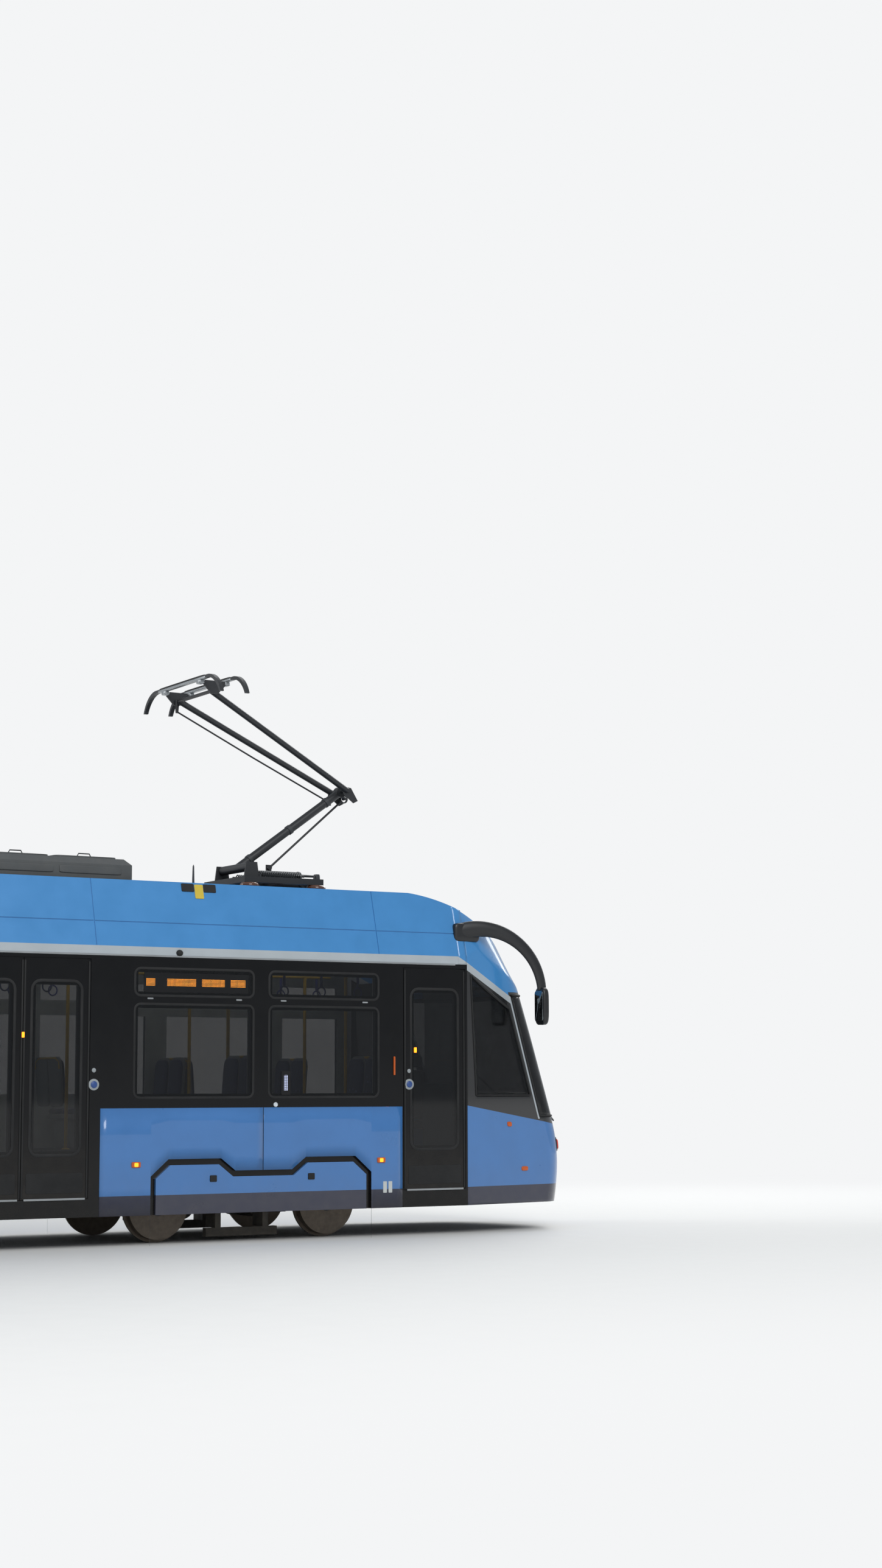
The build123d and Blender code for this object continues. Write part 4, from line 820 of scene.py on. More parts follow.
def make_all(owner: object, *pieces: tuple[str, Meshes, Finish]) -> dict[str, bpy.types.Object]:
    """Make pieces named after an owner's key, on its body, and return them by their short names."""
    return {name: meshes.object(f"{owner.key}_{name}", finish, owner.body) for name, meshes, finish in pieces}


def span(low: float, high: float, count: int) -> np.ndarray:
    """Evenly spaced values from low to high."""
    return np.linspace(low, high, count)


def turns(count: int) -> np.ndarray:
    """Evenly spaced angles of a full turn, without its end."""
    return np.linspace(0, 2 * math.pi, count, endpoint=False)


def rounded(x0: float, x1: float, z0: float, z1: float, radius: float, steps: int = 5) -> np.ndarray:
    """Outline (n, 2) of a rounded rectangle: each corner's centre plus radius (cos a, sin a) over its quarter.

    Args:
        x0: left edge.
        x1: right edge.
        z0: lower edge.
        z1: upper edge.
        radius: radius of the corners.
        steps: points in each corner.

    Returns:
        The outline's points.
    """
    centre = np.array([(x1 - radius, z1 - radius), (x0 + radius, z1 - radius), (x0 + radius, z0 + radius),
                       (x1 - radius, z0 + radius)])
    angle = span(0, math.pi / 2, steps)[None, :] + math.pi / 2 * np.arange(4)[:, None]
    return (centre[:, None] + radius * np.stack((np.cos(angle), np.sin(angle)), axis=-1)).reshape(-1, 2)


def pitched(angle: float) -> np.ndarray:
    """Rotation matrix about Y: x becomes (cos, 0, sin)."""
    c, s = math.cos(angle), math.sin(angle)
    return np.array([[c, 0, -s], [0, 1, 0], [s, 0, c]])


def rolled(angle: float) -> np.ndarray:
    """Rotation matrix about X: y becomes (0, cos, sin)."""
    c, s = math.cos(angle), math.sin(angle)
    return np.array([[1, 0, 0], [0, c, -s], [0, s, c]])


def circle_centre(xs: np.ndarray, zs: np.ndarray) -> Pair:
    """Centre of the circle through three points, where their perpendicular bisectors cross.

    Args:
        xs: the points' first coordinates.
        zs: their second coordinates.

    Returns:
        The centre.
    """
    matrix = 2 * np.array([[xs[1] - xs[0], zs[1] - zs[0]], [xs[2] - xs[0], zs[2] - zs[0]]])
    right = np.array([xs[1]**2 - xs[0]**2 + zs[1]**2 - zs[0]**2, xs[2]**2 - xs[0]**2 + zs[2]**2 - zs[0]**2])
    centre = np.linalg.solve(matrix, right)
    return float(centre[0]), float(centre[1])


def halved(low: np.ndarray, high: np.ndarray, short: Callable, times: int = 30) -> np.ndarray:
    """Find where short(value) stops holding between low and high, by halving the interval over and over.

    Args:
        low: values at which short holds.
        high: values at which it doesn't.
        short: tells for an array of values where they fall short.
        times: number of halvings.

    Returns:
        The values between.
    """
    for _ in range(times):
        middle = (low + high) / 2
        held = short(middle)
        low, high = np.where(held, middle, low), np.where(held, high, middle)
    return (low + high) / 2


def to_end(points: np.ndarray, end: End, side: Side = Side.LEFT) -> np.ndarray:
    """Mirror points of the front end's left half to another end and side."""
    return points * np.array([end.value, side.value, 1.0])


def fascia_y(z: np.ndarray | float) -> np.ndarray:
    """Half width of the body at a height: full up to the silver strip, then leaning in to the roof edge."""
    return HALF_WIDTH - FASCIA_LEAN * np.clip((z - SILVER_TOP) / (ROOF_TOP - SILVER_TOP), 0, 2)


@dataclass
class NoseForm:
    """Shape of an end's nose: plan outlines with a front arc, a corner arc and straight cheeks."""

    front_angle: float = math.radians(33)
    taper: float = math.radians(11.5)
    corner_radius: float = 0.29
    joint: float = 1.57
    cap_joint: float = 1.675
    # Shares of s that the front arc and the corner arc take.
    front_share: float = 0.42
    corner_share: float = 0.30
    # The front on the centre line: station of the tip at each height over the rail.
    heights: tuple[float, ...] = (0.25, 0.36, 0.48, 0.62, 0.76, 0.9, 1.05, 1.31, 1.6, 1.86, 2.1, 2.35, 2.45, 2.9, 3.34)
    tips: tuple[float, ...] = (0.046, 0.026, 0.01, 0.0, 0.006, 0.025, 0.062, 0.141, 0.24, 0.328, 0.412, 0.503, 0.543,
                               0.71, 0.87)
    # The roof line as (station, height): three points of an arc, then the visor's tip.
    roof: tuple[Pair, ...] = ((2.595, 3.34), (1.385, 3.09), (0.70, 2.45), (0.0, 2.10))
    crown: float = 0.06
    tuck: float = 0.75
    # Heights between which a face is sure to meet the roof line.
    roof_search: Pair = (RAIL + 1.9, RAIL + 3.6)
    # A pad's rings: share of its outline and share of its height, at the base, on the skin and up to the middle.
    pad_rings: tuple[Pair, ...] = ((1.0, -0.012), (1.0, 0.0), (0.94, 0.55), (0.85, 0.85), (0.6, 0.97), (0.3, 1.0),
                                   (0.0, 1.0))

    def tip(self, z: np.ndarray) -> np.ndarray:
        """Station of the front on the centre line at a height, by cubic Hermite pieces through the table.

        Args:
            z: heights.

        Returns:
            The stations.
        """
        h, t = np.array(self.heights) + RAIL, np.array(self.tips)
        slope = np.gradient(t, h)
        k = np.clip(np.searchsorted(h, z) - 1, 0, len(h) - 2)
        width = h[k + 1] - h[k]
        u = np.clip((z - h[k]) / width, 0, 1)
        return ((2 * u**3 - 3 * u**2 + 1) * t[k] + (u**3 - 2 * u**2 + u) * width * slope[k]
                + (3 * u**2 - 2 * u**3) * t[k + 1] + (u**3 - u**2) * width * slope[k + 1])

    def at(self, s: np.ndarray, z: np.ndarray) -> np.ndarray:
        """Points of the left half: s runs 0 to 1 from the centre line round the front and corner arcs to the joint.

        The radii follow from the tip's station, the cheek's taper and the width, as in the CAD outline.
        Above the cant rail, y is held inside the leaning side.

        Args:
            s: shares of the outline.
            z: heights.

        Returns:
            The points (..., 3).
        """
        s, z = np.broadcast_arrays(np.asarray(s, float), np.asarray(z, float))
        tip_x = HALF_LENGTH - self.tip(z)
        joint_x = HALF_LENGTH - self.joint
        corner, front, slope = self.corner_radius, self.front_angle, self.taper
        reach = tip_x - corner * (math.cos(front) - math.sin(slope)) - joint_x
        spread = HALF_WIDTH - reach * math.tan(slope) + corner * (math.sin(front) - math.cos(slope))
        radius = spread / (math.sin(front) - (1 - math.cos(front)) * math.tan(slope))
        front_x = tip_x - radius
        corner_x = front_x + (radius - corner) * math.cos(front)
        corner_y = (radius - corner) * math.sin(front)
        on_front = s < self.front_share
        on_corner = s < self.front_share + self.corner_share
        first = front * s / self.front_share
        second = front + (math.pi / 2 - slope - front) * (s - self.front_share) / self.corner_share
        share = (s - self.front_share - self.corner_share) / (1 - self.front_share - self.corner_share)
        cheek_x = corner_x + corner * math.sin(slope)
        cheek_y = corner_y + corner * math.cos(slope)
        x = np.where(on_front, front_x + radius * np.cos(first),
                     np.where(on_corner, corner_x + corner * np.cos(second), cheek_x + (joint_x - cheek_x) * share))
        y = np.where(on_front, radius * np.sin(first),
                     np.where(on_corner, corner_y + corner * np.sin(second), cheek_y + (HALF_WIDTH - cheek_y) * share))
        return np.stack((x, np.minimum(y, fascia_y(z)) * self.tucked(x, z), z), axis=-1)

    def tucked(self, x: np.ndarray, z: np.ndarray) -> np.ndarray:
        """Share of y kept above the crease line: the shoulder tucks in more the further forward it lies.

        Args:
            x: stations.
            z: heights.

        Returns:
            The shares.
        """
        station = HALF_LENGTH - x
        slope = (CREASE_REAR[1] - CREASE_FRONT[1]) / (CREASE_REAR[0] - CREASE_FRONT[0])
        crease = RAIL + CREASE_FRONT[1] + slope * (station - CREASE_FRONT[0])
        forward = np.clip((CREASE_REAR[0] - station) / (CREASE_REAR[0] - CREASE_FRONT[0]), 0, 1)
        return 1 - self.tuck * forward * np.maximum(z - crease, 0) / HALF_WIDTH

    def roof_z(self, x: np.ndarray) -> np.ndarray:
        """Height of the roof line over the nose: an arc through three points, then a straight visor.

        Args:
            x: stations.

        Returns:
            The heights.
        """
        stations, heights = np.array(self.roof).T
        xs, hs = HALF_LENGTH - stations, RAIL + heights
        centre = circle_centre(xs[:3], hs[:3])
        radius = math.hypot(xs[0] - centre[0], hs[0] - centre[1])
        arc = centre[1] + np.sqrt(np.maximum(radius**2 - (x - centre[0]) ** 2, 0))
        visor = hs[2] + (hs[3] - hs[2]) * (x - xs[2]) / (xs[3] - xs[2])
        return np.where(x < xs[0], hs[0], np.where(x < xs[2], arc, visor))

    def station_s(self, station: np.ndarray, z: np.ndarray, by_width: bool = False) -> np.ndarray:
        """The s at which the outline at height z reaches a station, or a y, by halving the interval.

        Args:
            station: the stations, or y from the middle.
            z: heights.
            by_width: takes them as y.

        Returns:
            The shares of the outline.
        """
        def short(s: np.ndarray) -> np.ndarray:
            """Whether the outline hasn't reached it yet."""
            place = self.at(s, z)
            return (place[..., 1] if by_width else HALF_LENGTH - place[..., 0]) < station

        return halved(np.zeros_like(z), np.ones_like(z), short)

    def roof_at(self, s: np.ndarray) -> np.ndarray:
        """Height at which the face over s meets the roof line, by halving the interval."""
        low, high = (np.full_like(s, z) for z in self.roof_search)
        return halved(low, high, lambda z: z < self.roof_z(self.at(s, z)[..., 0]))

    def normal(self, s: np.ndarray, z: np.ndarray) -> np.ndarray:
        """Outward unit normal, from differences of the surface over small steps of s and z.

        Args:
            s: shares of the outline.
            z: heights.

        Returns:
            The normals (..., 3).
        """
        step = 1e-3
        cross = np.cross(self.at(s + step, z) - self.at(s - step, z), self.at(s, z + step) - self.at(s, z - step))
        cross *= np.sign(cross[..., :1])
        return cross / np.linalg.norm(cross, axis=-1, keepdims=True)

    def lifted(self, s: np.ndarray, z: np.ndarray, lift: np.ndarray | float) -> np.ndarray:
        """Points of the surface moved out along its normal."""
        s, z = np.broadcast_arrays(np.asarray(s, float), np.asarray(z, float))
        return self.at(s, z) + self.normal(s, z) * np.asarray(lift)[..., None]

    def pad(self, first: float, last: float, low: float, high: float, lift: float, power: float,
            by_width: bool) -> np.ndarray:
        """Rounded pad on the surface: rings of a superellipse in (s, z), each raised by its share of lift.

        Args:
            first: y, or station, of one side at the pad's middle height.
            last: the same of the other side.
            low: lower edge.
            high: upper edge.
            lift: height over the surface.
            power: 1 is an ellipse and near 0 a rectangle.
            by_width: whether first and last are y or stations.

        Returns:
            Its grid, for the left half of the nose.
        """
        middle = np.array([(low + high) / 2] * 2)
        s0, s1 = self.station_s(np.array([first, last]), middle, by_width)
        r, height = (column[:, None] for column in np.array(self.pad_rings).T)
        c, k = np.cos(turns(40)), np.sin(turns(40))
        s = (s0 + s1) / 2 + (s1 - s0) / 2 * r * np.sign(c) * np.abs(c) ** power
        z = (low + high) / 2 + (high - low) / 2 * r * np.sign(k) * np.abs(k) ** power
        return self.lifted(s, z, height * lift + 0 * s)


BOGIES = (3.85, 10.85)
RIGHT_WINDOWS = ((2.608, 3.791), (3.98, 5.189), (7.25, 8.75), (8.93, 10.43), (10.61, 12.05))
LEFT_WINDOWS = ((1.72, 2.44), *RIGHT_WINDOWS[:2], (5.378, 7.072), *RIGHT_WINDOWS[2:])
DOOR_LEAVES = ((1.60, 2.31), (5.645, 6.295), (6.295, 6.945))
MIDDLE_WINDOWS = {Side.RIGHT: ((-2.78, -1.15), (1.15, 2.78)),
                  Side.LEFT: ((-2.78, -1.15), (-0.97, 0.97), (1.15, 2.78))}
MIDDLE_LEAVES = ((-0.65, 0.0), (0.0, 0.65))


@dataclass
class Section:
    """One of the three sections, with a way to draw at stations of an end or at X of the middle."""

    end: End | None

    @property
    def key(self) -> str:
        """The start of this section's names."""
        return self.end.name.lower() if self.end else "middle"

    @property
    def body(self) -> str:
        """The CAD body of this section."""
        return f"car_{self.key}"

    def x(self, station: float) -> float:
        """Turn a station, or X in the middle, into X."""
        return self.end.value * (HALF_LENGTH - station) if self.end else station

    def xs(self, first: float, second: float) -> Pair:
        """Turn a pair of stations, or of X in the middle, into ordered X."""
        low, high = sorted((self.x(first), self.x(second)))
        return low, high

    def openings(self, side: Side) -> list[Pair]:
        """Ordered X of the windows on a side."""
        table = MIDDLE_WINDOWS[side] if not self.end else RIGHT_WINDOWS if side is Side.RIGHT else LEFT_WINDOWS
        return [self.xs(*pair) for pair in table]

    def leaves(self) -> list[Pair]:
        """Ordered X of the door leaves, which are all on the right."""
        return [self.xs(*pair) for pair in (DOOR_LEAVES if self.end else MIDDLE_LEAVES)]


@dataclass
class Nose(Section):
    """Nose of one end: its shell in blocks round the glass, its roof cap, and the panes."""

    form: NoseForm = field(default_factory=NoseForm)
    screen_low: float = RAIL + 1.12
    screen_top: float = RAIL + 2.34
    # Front and rear edge of the cab window, each from its lower to its upper point.
    cab_front: tuple[Pair, Pair] = ((0.70, 1.33), (0.99, 2.20))
    cab_rear: tuple[Pair, Pair] = ((1.45, 1.33), (1.52, 2.53))
    pillar_shift: float = -0.01
    # How near a column line may come to the tip (and more for each line) and to the joint.
    tip_margin: Pair = (0.25, 0.08)
    joint_margin: float = 0.01
    thickness: float = 0.05
    glass_thickness: float = 0.01
    crown_run: float = 0.4
    inside_station: float = 1.5
    inside_z: float = 1.6
    columns: tuple[int, ...] = (40, 10, 24, 8)
    rows: tuple[int, ...] = (26, 6, 26, 26)
    # (column, row) of the blocks that are glass.
    screen_blocks: tuple[tuple[int, int], ...] = ((0, 1), (0, 2))
    cab_block: tuple[int, int] = (2, 2)

    def column_line(self, index: int, z: np.ndarray) -> np.ndarray:
        """The s of one of the lines between blocks: centre, screen edge, cab window's edges, joint.

        Args:
            index: number of the line, from the centre.
            z: heights.

        Returns:
            The shares of the outline.
        """
        last = len(self.columns)
        if index in (0, last):
            return np.full_like(z, index / last)
        low, high = (pillar_line(self.pillar_shift), self.cab_front, self.cab_rear)[index - 1]
        station = low[0] + (high[0] - low[0]) * (z - RAIL - low[1]) / (high[1] - low[1])
        least, more = self.tip_margin
        station = np.clip(station, self.form.tip(z) + least + more * index,
                          self.form.joint - self.joint_margin * (last - index))
        return self.form.station_s(station, z)

    def block(self, column: int, row: int) -> np.ndarray:
        """Grid of one block, its columns between two column lines and its rows between two row lines.

        Row lines are flat, but the one over the windows climbs along the cab window's top, and the last is
        the roof line. A block's point at (u, v) has z between its row lines at that u, and s between its
        column lines at that z.

        Args:
            column: number of the block's column.
            row: number of its row.

        Returns:
            The points (rows, columns, 3).
        """
        u = span(0, 1, self.columns[column] + 1)[None, :]
        v = span(0, 1, self.rows[row] + 1)[:, None]
        low, high = self.row_line(row, column, u), self.row_line(row + 1, column, u)
        z = low + (high - low) * v
        for _ in range(3):
            s0, s1 = self.column_line(column, z), self.column_line(column + 1, z)
            s = s0 + (s1 - s0) * u
            if row == 3:
                z = low + (self.form.roof_at(s) - low) * v
        return self.form.at(s, z)

    def row_line(self, row: int, column: int, u: np.ndarray) -> np.ndarray:
        """Height of a row line across a block.

        Args:
            row: number of the line, from below.
            column: number of the block's column.
            u: shares of the block's width.

        Returns:
            The heights.
        """
        front_top, rear_top = RAIL + self.cab_front[1][1], RAIL + self.cab_rear[1][1]
        window_tops = ((self.screen_top, self.screen_top), (self.screen_top, front_top), (front_top, rear_top),
                       (rear_top, rear_top))
        if row == 3:
            a, b = window_tops[column]
            return a + (b - a) * u
        flat = (SKIRT, self.screen_low, RAIL + self.cab_front[0][1], 0.0, ROOF_TOP)[row]
        return np.full_like(u, flat)

    def build(self) -> None:
        """Make the shell with its cap, and the glass."""
        shell, screen, cab = Meshes(), Meshes(), Meshes()
        for column in range(len(self.columns)):
            for row in range(len(self.rows)):
                place = column, row
                target = screen if place in self.screen_blocks else cab if place == self.cab_block else shell
                half = self.block(column, row)
                if column == 0:
                    whole = np.concatenate((to_end(half[:, :0:-1], End.FRONT, Side.RIGHT), half), axis=1)
                    target.grid(to_end(whole, self.end))
                    continue
                for side in Side:
                    target.grid(to_end(half, self.end, side), flip=side is Side.RIGHT)
        self.cap(shell)
        self.shoulder(shell)
        inside = (self.x(self.inside_station), 0.0, self.inside_z)
        made = shell.object(f"{self.key}_nose_shell", NOSE_ENAMEL, self.body, crease=28, centre=inside)
        thicken(made, self.thickness)
        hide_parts(f"{self.key}_nose")
        for meshes, name in ((screen, "windscreen"), (cab, "cab_windows")):
            pane = meshes.object(f"{self.key}_{name}", SCREEN_GLASS, self.body, centre=inside)
            thicken(pane, self.glass_thickness)

    def shoulder_x(self) -> np.ndarray:
        """X of four columns between the nose's joint and the cap's joint."""
        return HALF_LENGTH - span(self.form.joint, self.form.cap_joint, 4)

    def cap_edge(self) -> np.ndarray:
        """Points along the left edge of the roof cap, from the front to the cap's joint.

        Returns:
            The points (n, 3).
        """
        edges = [self.block(column, 3)[-1] for column in range(len(self.columns))]
        x = self.shoulder_x()[1:]
        z = self.form.roof_z(x)
        return np.concatenate((edges[0], *(edge[1:] for edge in edges[1:]), np.column_stack((x, fascia_y(z), z))))

    def shoulder(self, shell: Meshes) -> None:
        """Strip of the side between the two joints, from the silver strip up to the roof edge.

        Args:
            shell: takes the surfaces.
        """
        x = self.shoulder_x()[None, :]
        z = SILVER_LOW + (self.form.roof_z(x) - SILVER_LOW) * span(0, 1, 24)[:, None]
        half = np.stack((x + 0 * z, fascia_y(z), z), axis=-1)
        for side in Side:
            shell.grid(to_end(half, self.end, side))

    def crown(self, x: np.ndarray, edge: np.ndarray) -> np.ndarray:
        """Rise of the cap's middle over its edge: it grows forward of the cap's joint, over a short run."""
        return self.form.crown * np.clip(x - edge[-1, 0], 0, self.crown_run) / self.crown_run

    def cap(self, shell: Meshes) -> None:
        """Roof over the nose: lines across between both sides' roof edges, at one x each, crowned by 1 - w^2.

        Args:
            shell: takes the surfaces.
        """
        edge = self.cap_edge()
        w = span(-1, 1, 25)[None, :]
        lift = self.crown(edge[:, :1], edge) * (1 - w**2)
        surface = np.stack((edge[:, :1] + 0 * w, edge[:, 1:2] * w, edge[:, 2:] + lift), axis=-1)
        shell.grid(to_end(surface, self.end))


@dataclass
class SidePanels(Section):
    """Blue panels under the windows and their skirt, cut out round the bogie covers, with open seams."""

    thickness: float = 0.004
    gap: float = 0.008
    sill_gap: float = 0.006
    bend_width: float = 0.0004
    inside: Triple = (0.0, 0.0, 0.8)
    # A cover's outline as (distance from its middle, height).
    cover: tuple[Pair, ...] = ((0.0, RAIL + 0.64), (0.30, RAIL + 0.64), (0.45, RAIL + 0.755), (0.993, RAIL + 0.755),
                               (1.172, RAIL + 0.60), (1.1725, 0.0))
    right: tuple[tuple[float, ...], ...] = ((2.324, 3.86, 5.535), (7.055, 8.84, 10.52, 12.35))
    left: tuple[tuple[float, ...], ...] = ((1.60, 2.524, 3.86, 5.28, 7.16, 8.84, 10.52, 12.35),)
    middle_right: tuple[tuple[float, ...], ...] = ((-2.95, -1.86, -0.76), (0.76, 1.86, 2.95))
    middle_left: tuple[tuple[float, ...], ...] = ((-2.95, -1.5, 0.0, 1.5, 2.95),)

    def seams(self, side: Side) -> tuple[tuple[float, ...], ...]:
        """Stations, or X in the middle, of the seams along each unbroken run of panels on a side.

        Args:
            side: the side of the vehicle.

        Returns:
            The seams of each run.
        """
        if self.end:
            return self.right if side is Side.RIGHT else self.left
        return self.middle_right if side is Side.RIGHT else self.middle_left

    def build(self) -> None:
        """Make the panels of both sides."""
        for side in Side:
            meshes = Meshes()
            for run in self.seams(side):
                for first, second in zip(run, run[1:]):
                    low, high = self.xs(first, second)
                    meshes.grid(self.panel(low + self.gap / 2, high - self.gap / 2, side))
            name = f"{self.key}_panels_{side.name.lower()}"
            made = meshes.object(name, BLUE_ENAMEL, self.body, centre=self.inside)
            thicken(made, self.thickness, outward=True)

    def bogie_places(self) -> list[float]:
        """X of the bogies under this section."""
        return [self.x(station) for station in BOGIES] if self.end else []

    def low_edge(self, x: np.ndarray) -> np.ndarray:
        """Height of the lower edge: the skirt, or a cover's stepped outline where that stands higher.

        Args:
            x: stations, or X in the middle.

        Returns:
            The heights.
        """
        distance, height = np.array(self.cover).T
        z = np.full_like(x, SKIRT)
        for bogie in self.bogie_places():
            away = np.abs(x - bogie)
            z = np.where(away < distance[-1], np.interp(away, distance, height), z)
        return z

    def panel(self, low: float, high: float, side: Side) -> np.ndarray:
        """Grid of a panel: columns from the lower edge up to the sill, closer where a cover's outline bends.

        Args:
            low: station of the panel's first edge.
            high: station of its last edge.
            side: the side of the vehicle.

        Returns:
            The points (rows, columns, 3).
        """
        bends = [bogie + sign * (d + nudge) for bogie in self.bogie_places() for sign in (-1, 1)
                 for d, _ in self.cover for nudge in (0.0, self.bend_width)]
        x = np.unique(np.concatenate((span(low, high, 24), [b for b in bends if low < b < high])))
        bottom = self.low_edge(x)[None, :]
        z = bottom + (SILL - self.sill_gap - bottom) * span(0, 1, 5)[:, None]
        return np.stack((x[None, :] + 0 * z, np.full_like(z, side.value * HALF_WIDTH), z), axis=-1)


@dataclass(frozen=True)
class Patch:
    """Plate on a side wall: half width or inset, lower and upper height over the rail, depth and corner radius."""

    half: float
    low: float
    high: float
    depth: float
    radius: float = 0.01

    def on(self, meshes: Meshes, x: float, side: Side) -> None:
        """Add it at x."""
        rect = (x - self.half, x + self.half, RAIL + self.low, RAIL + self.high)
        meshes.plaque(rect, side, self.depth, self.radius)

    def across(self, meshes: Meshes, x0: float, x1: float, side: Side) -> None:
        """Add it from x0 to x1, with half as its inset from both."""
        rect = (x0 + self.half, x1 - self.half, RAIL + self.low, RAIL + self.high)
        meshes.plaque(rect, side, self.depth, self.radius)


@dataclass
class SideTrim(Section):
    """Gaskets, door seals, buttons, lamps, boards and bare plates on both sides of a section."""

    panes: tuple[Pair, ...] = ((RAIL + 1.33, RAIL + 2.17), (RAIL + 2.27, RAIL + 2.50))
    door_pane: Pair = (RAIL + 0.82, RAIL + 2.365)
    # Width, depth and corner radius of the rubber round a window and round a door's pane.
    window_gasket: Triple = (0.022, 0.004, 0.045)
    door_gasket: Triple = (0.026, 0.005, 0.07)
    # A door leaf's frame round its pane, its seals, and the plates along its foot.
    stile: float = 0.095
    seal: float = 0.012
    door_seal: Patch = Patch(0.009, 0.43, 2.56, 0.007, 0.006)
    kick: Patch = Patch(0.05, 0.47, 0.65, 0.003, 0.02)
    door_sill: Patch = Patch(0.03, 0.408, 0.426, 0.016, 0.004)
    # Catches under a hopper, and the slim rail along the silver strip's lower edge.
    catch_shares: Pair = (0.12, 0.88)
    catch: Patch = Patch(0.03, 2.225, 2.24, 0.006, 0.005)
    edge: Patch = Patch(0.01, 2.618, 2.634, 0.006, 0.004)
    # Door buttons: stations of the doors' posts, height, and (radius, depth) of the rim, cap and lamp.
    posts: Pair = (2.25, 5.60)
    middle_post: float = -0.71
    button_z: float = RAIL + 1.44
    call_z: float = RAIL + 1.57
    rim: Pair = (0.052, 0.008)
    cap: Pair = (0.032, 0.016)
    call: Pair = (0.020, 0.006)
    # On the right side only: group, station and plate of the doors' lamps, the boards behind glass, and bare plates.
    door_lamps: tuple[tuple[str, float, Patch], ...] = (
        ("orange", 2.42, Patch(0.008, 1.53, 1.71, 0.014, 0.005)),
        ("amber", 2.18, Patch(0.012, 1.75, 1.80, 0.014, 0.005)),
        ("orange", 7.02, Patch(0.008, 1.53, 1.71, 0.014, 0.005)),
        ("amber", 6.295, Patch(0.012, 1.86, 1.91, 0.014, 0.005)))
    boards: tuple[tuple[str, float, Patch], ...] = (
        ("screen", 4.5675, Patch(0.5425, 2.29, 2.475, 0.0055)),
        ("screen", 3.62, Patch(0.05, 1.34, 1.57, 0.0055)),
        ("spot", 3.62, Patch(0.02, 1.38, 1.53, 0.0065, 0.004)),
        *(("board", station, Patch(half, 2.35, 2.42, 0.0065, 0.004))
          for station, half in ((5.045, 0.045), (4.73, 0.15), (4.40, 0.12), (4.14, 0.08))))
    plate: Patch = Patch(0.021, 0.395, 0.505, 0.006, 0.005)
    plate_station: float = 2.495
    plate_shifts: Pair = (-0.03, 0.03)
    # On both sides: markers with their lamps, and sockets.
    markers: tuple[float, ...] = (2.57, 5.171, 8.84, 12.2)
    middle_markers: Pair = (-2.4, 2.4)
    marker: Patch = Patch(0.045, 0.685, 0.735, 0.016)
    marker_lamp: Patch = Patch(0.022, 0.69, 0.73, 0.018)
    sockets: tuple[float, ...] = (3.34, 4.38, 10.34, 11.38)
    socket: Patch = Patch(0.035, 0.54, 0.60, 0.010, 0.008)
    lens_at: Pair = (3.73, RAIL + 1.25)
    lens: Pair = (0.022, 0.012)
    camera_at: Pair = (4.75, RAIL + 2.66)
    camera_half: Triple = (0.035, 0.03, 0.03)

    def build(self) -> None:
        """Make every piece of trim."""
        rubber, metal, dark = Meshes(), Meshes(), Meshes()
        for side in Side:
            for x0, x1 in self.openings(side):
                for z0, z1 in self.panes:
                    rubber.gasket((x0, x1, z0, z1), side, *self.window_gasket)
                for share in self.catch_shares:
                    self.catch.on(metal, x0 + (x1 - x0) * share, side)
        for x0, x1 in self.leaves():
            rubber.gasket((x0 + self.stile, x1 - self.stile, *self.door_pane), Side.RIGHT, *self.door_gasket)
            for x in (x0 + self.seal, x1 - self.seal):
                self.door_seal.on(rubber, x, Side.RIGHT)
            self.kick.across(dark, x0, x1, Side.RIGHT)
            self.door_sill.across(metal, x0, x1, Side.RIGHT)
        x0, x1 = self.xs(1.70, HALF_LENGTH - CAR_END) if self.end else (-MIDDLE_END, MIDDLE_END)
        for side in Side:
            self.edge.across(metal, x0, x1, side)
        make_all(self, ("window_gaskets", rubber, RUBBER), ("side_metalwork", metal, ALUMINIUM),
                 ("door_kick_plates", dark, RUBBER))
        if self.end:
            self.end_fittings()
        else:
            self.middle_fittings()

    def disc(self, meshes: Meshes, x: float, z: float, size: Pair) -> None:
        """Round cap of a radius and depth on the right side: a lathed rim and a shallow dome.

        Args:
            meshes: takes the cap.
            x: X of its middle.
            z: height of its middle.
            size: its radius and depth.
        """
        radius, depth = size
        sign = Side.RIGHT.value
        meshes.lathe((x, sign * HALF_WIDTH, z), 1, [(0, 0), (0, radius), (sign * depth * 0.7, radius),
                                                    (sign * depth, radius * 0.8), (sign * depth * 1.1, 0)])

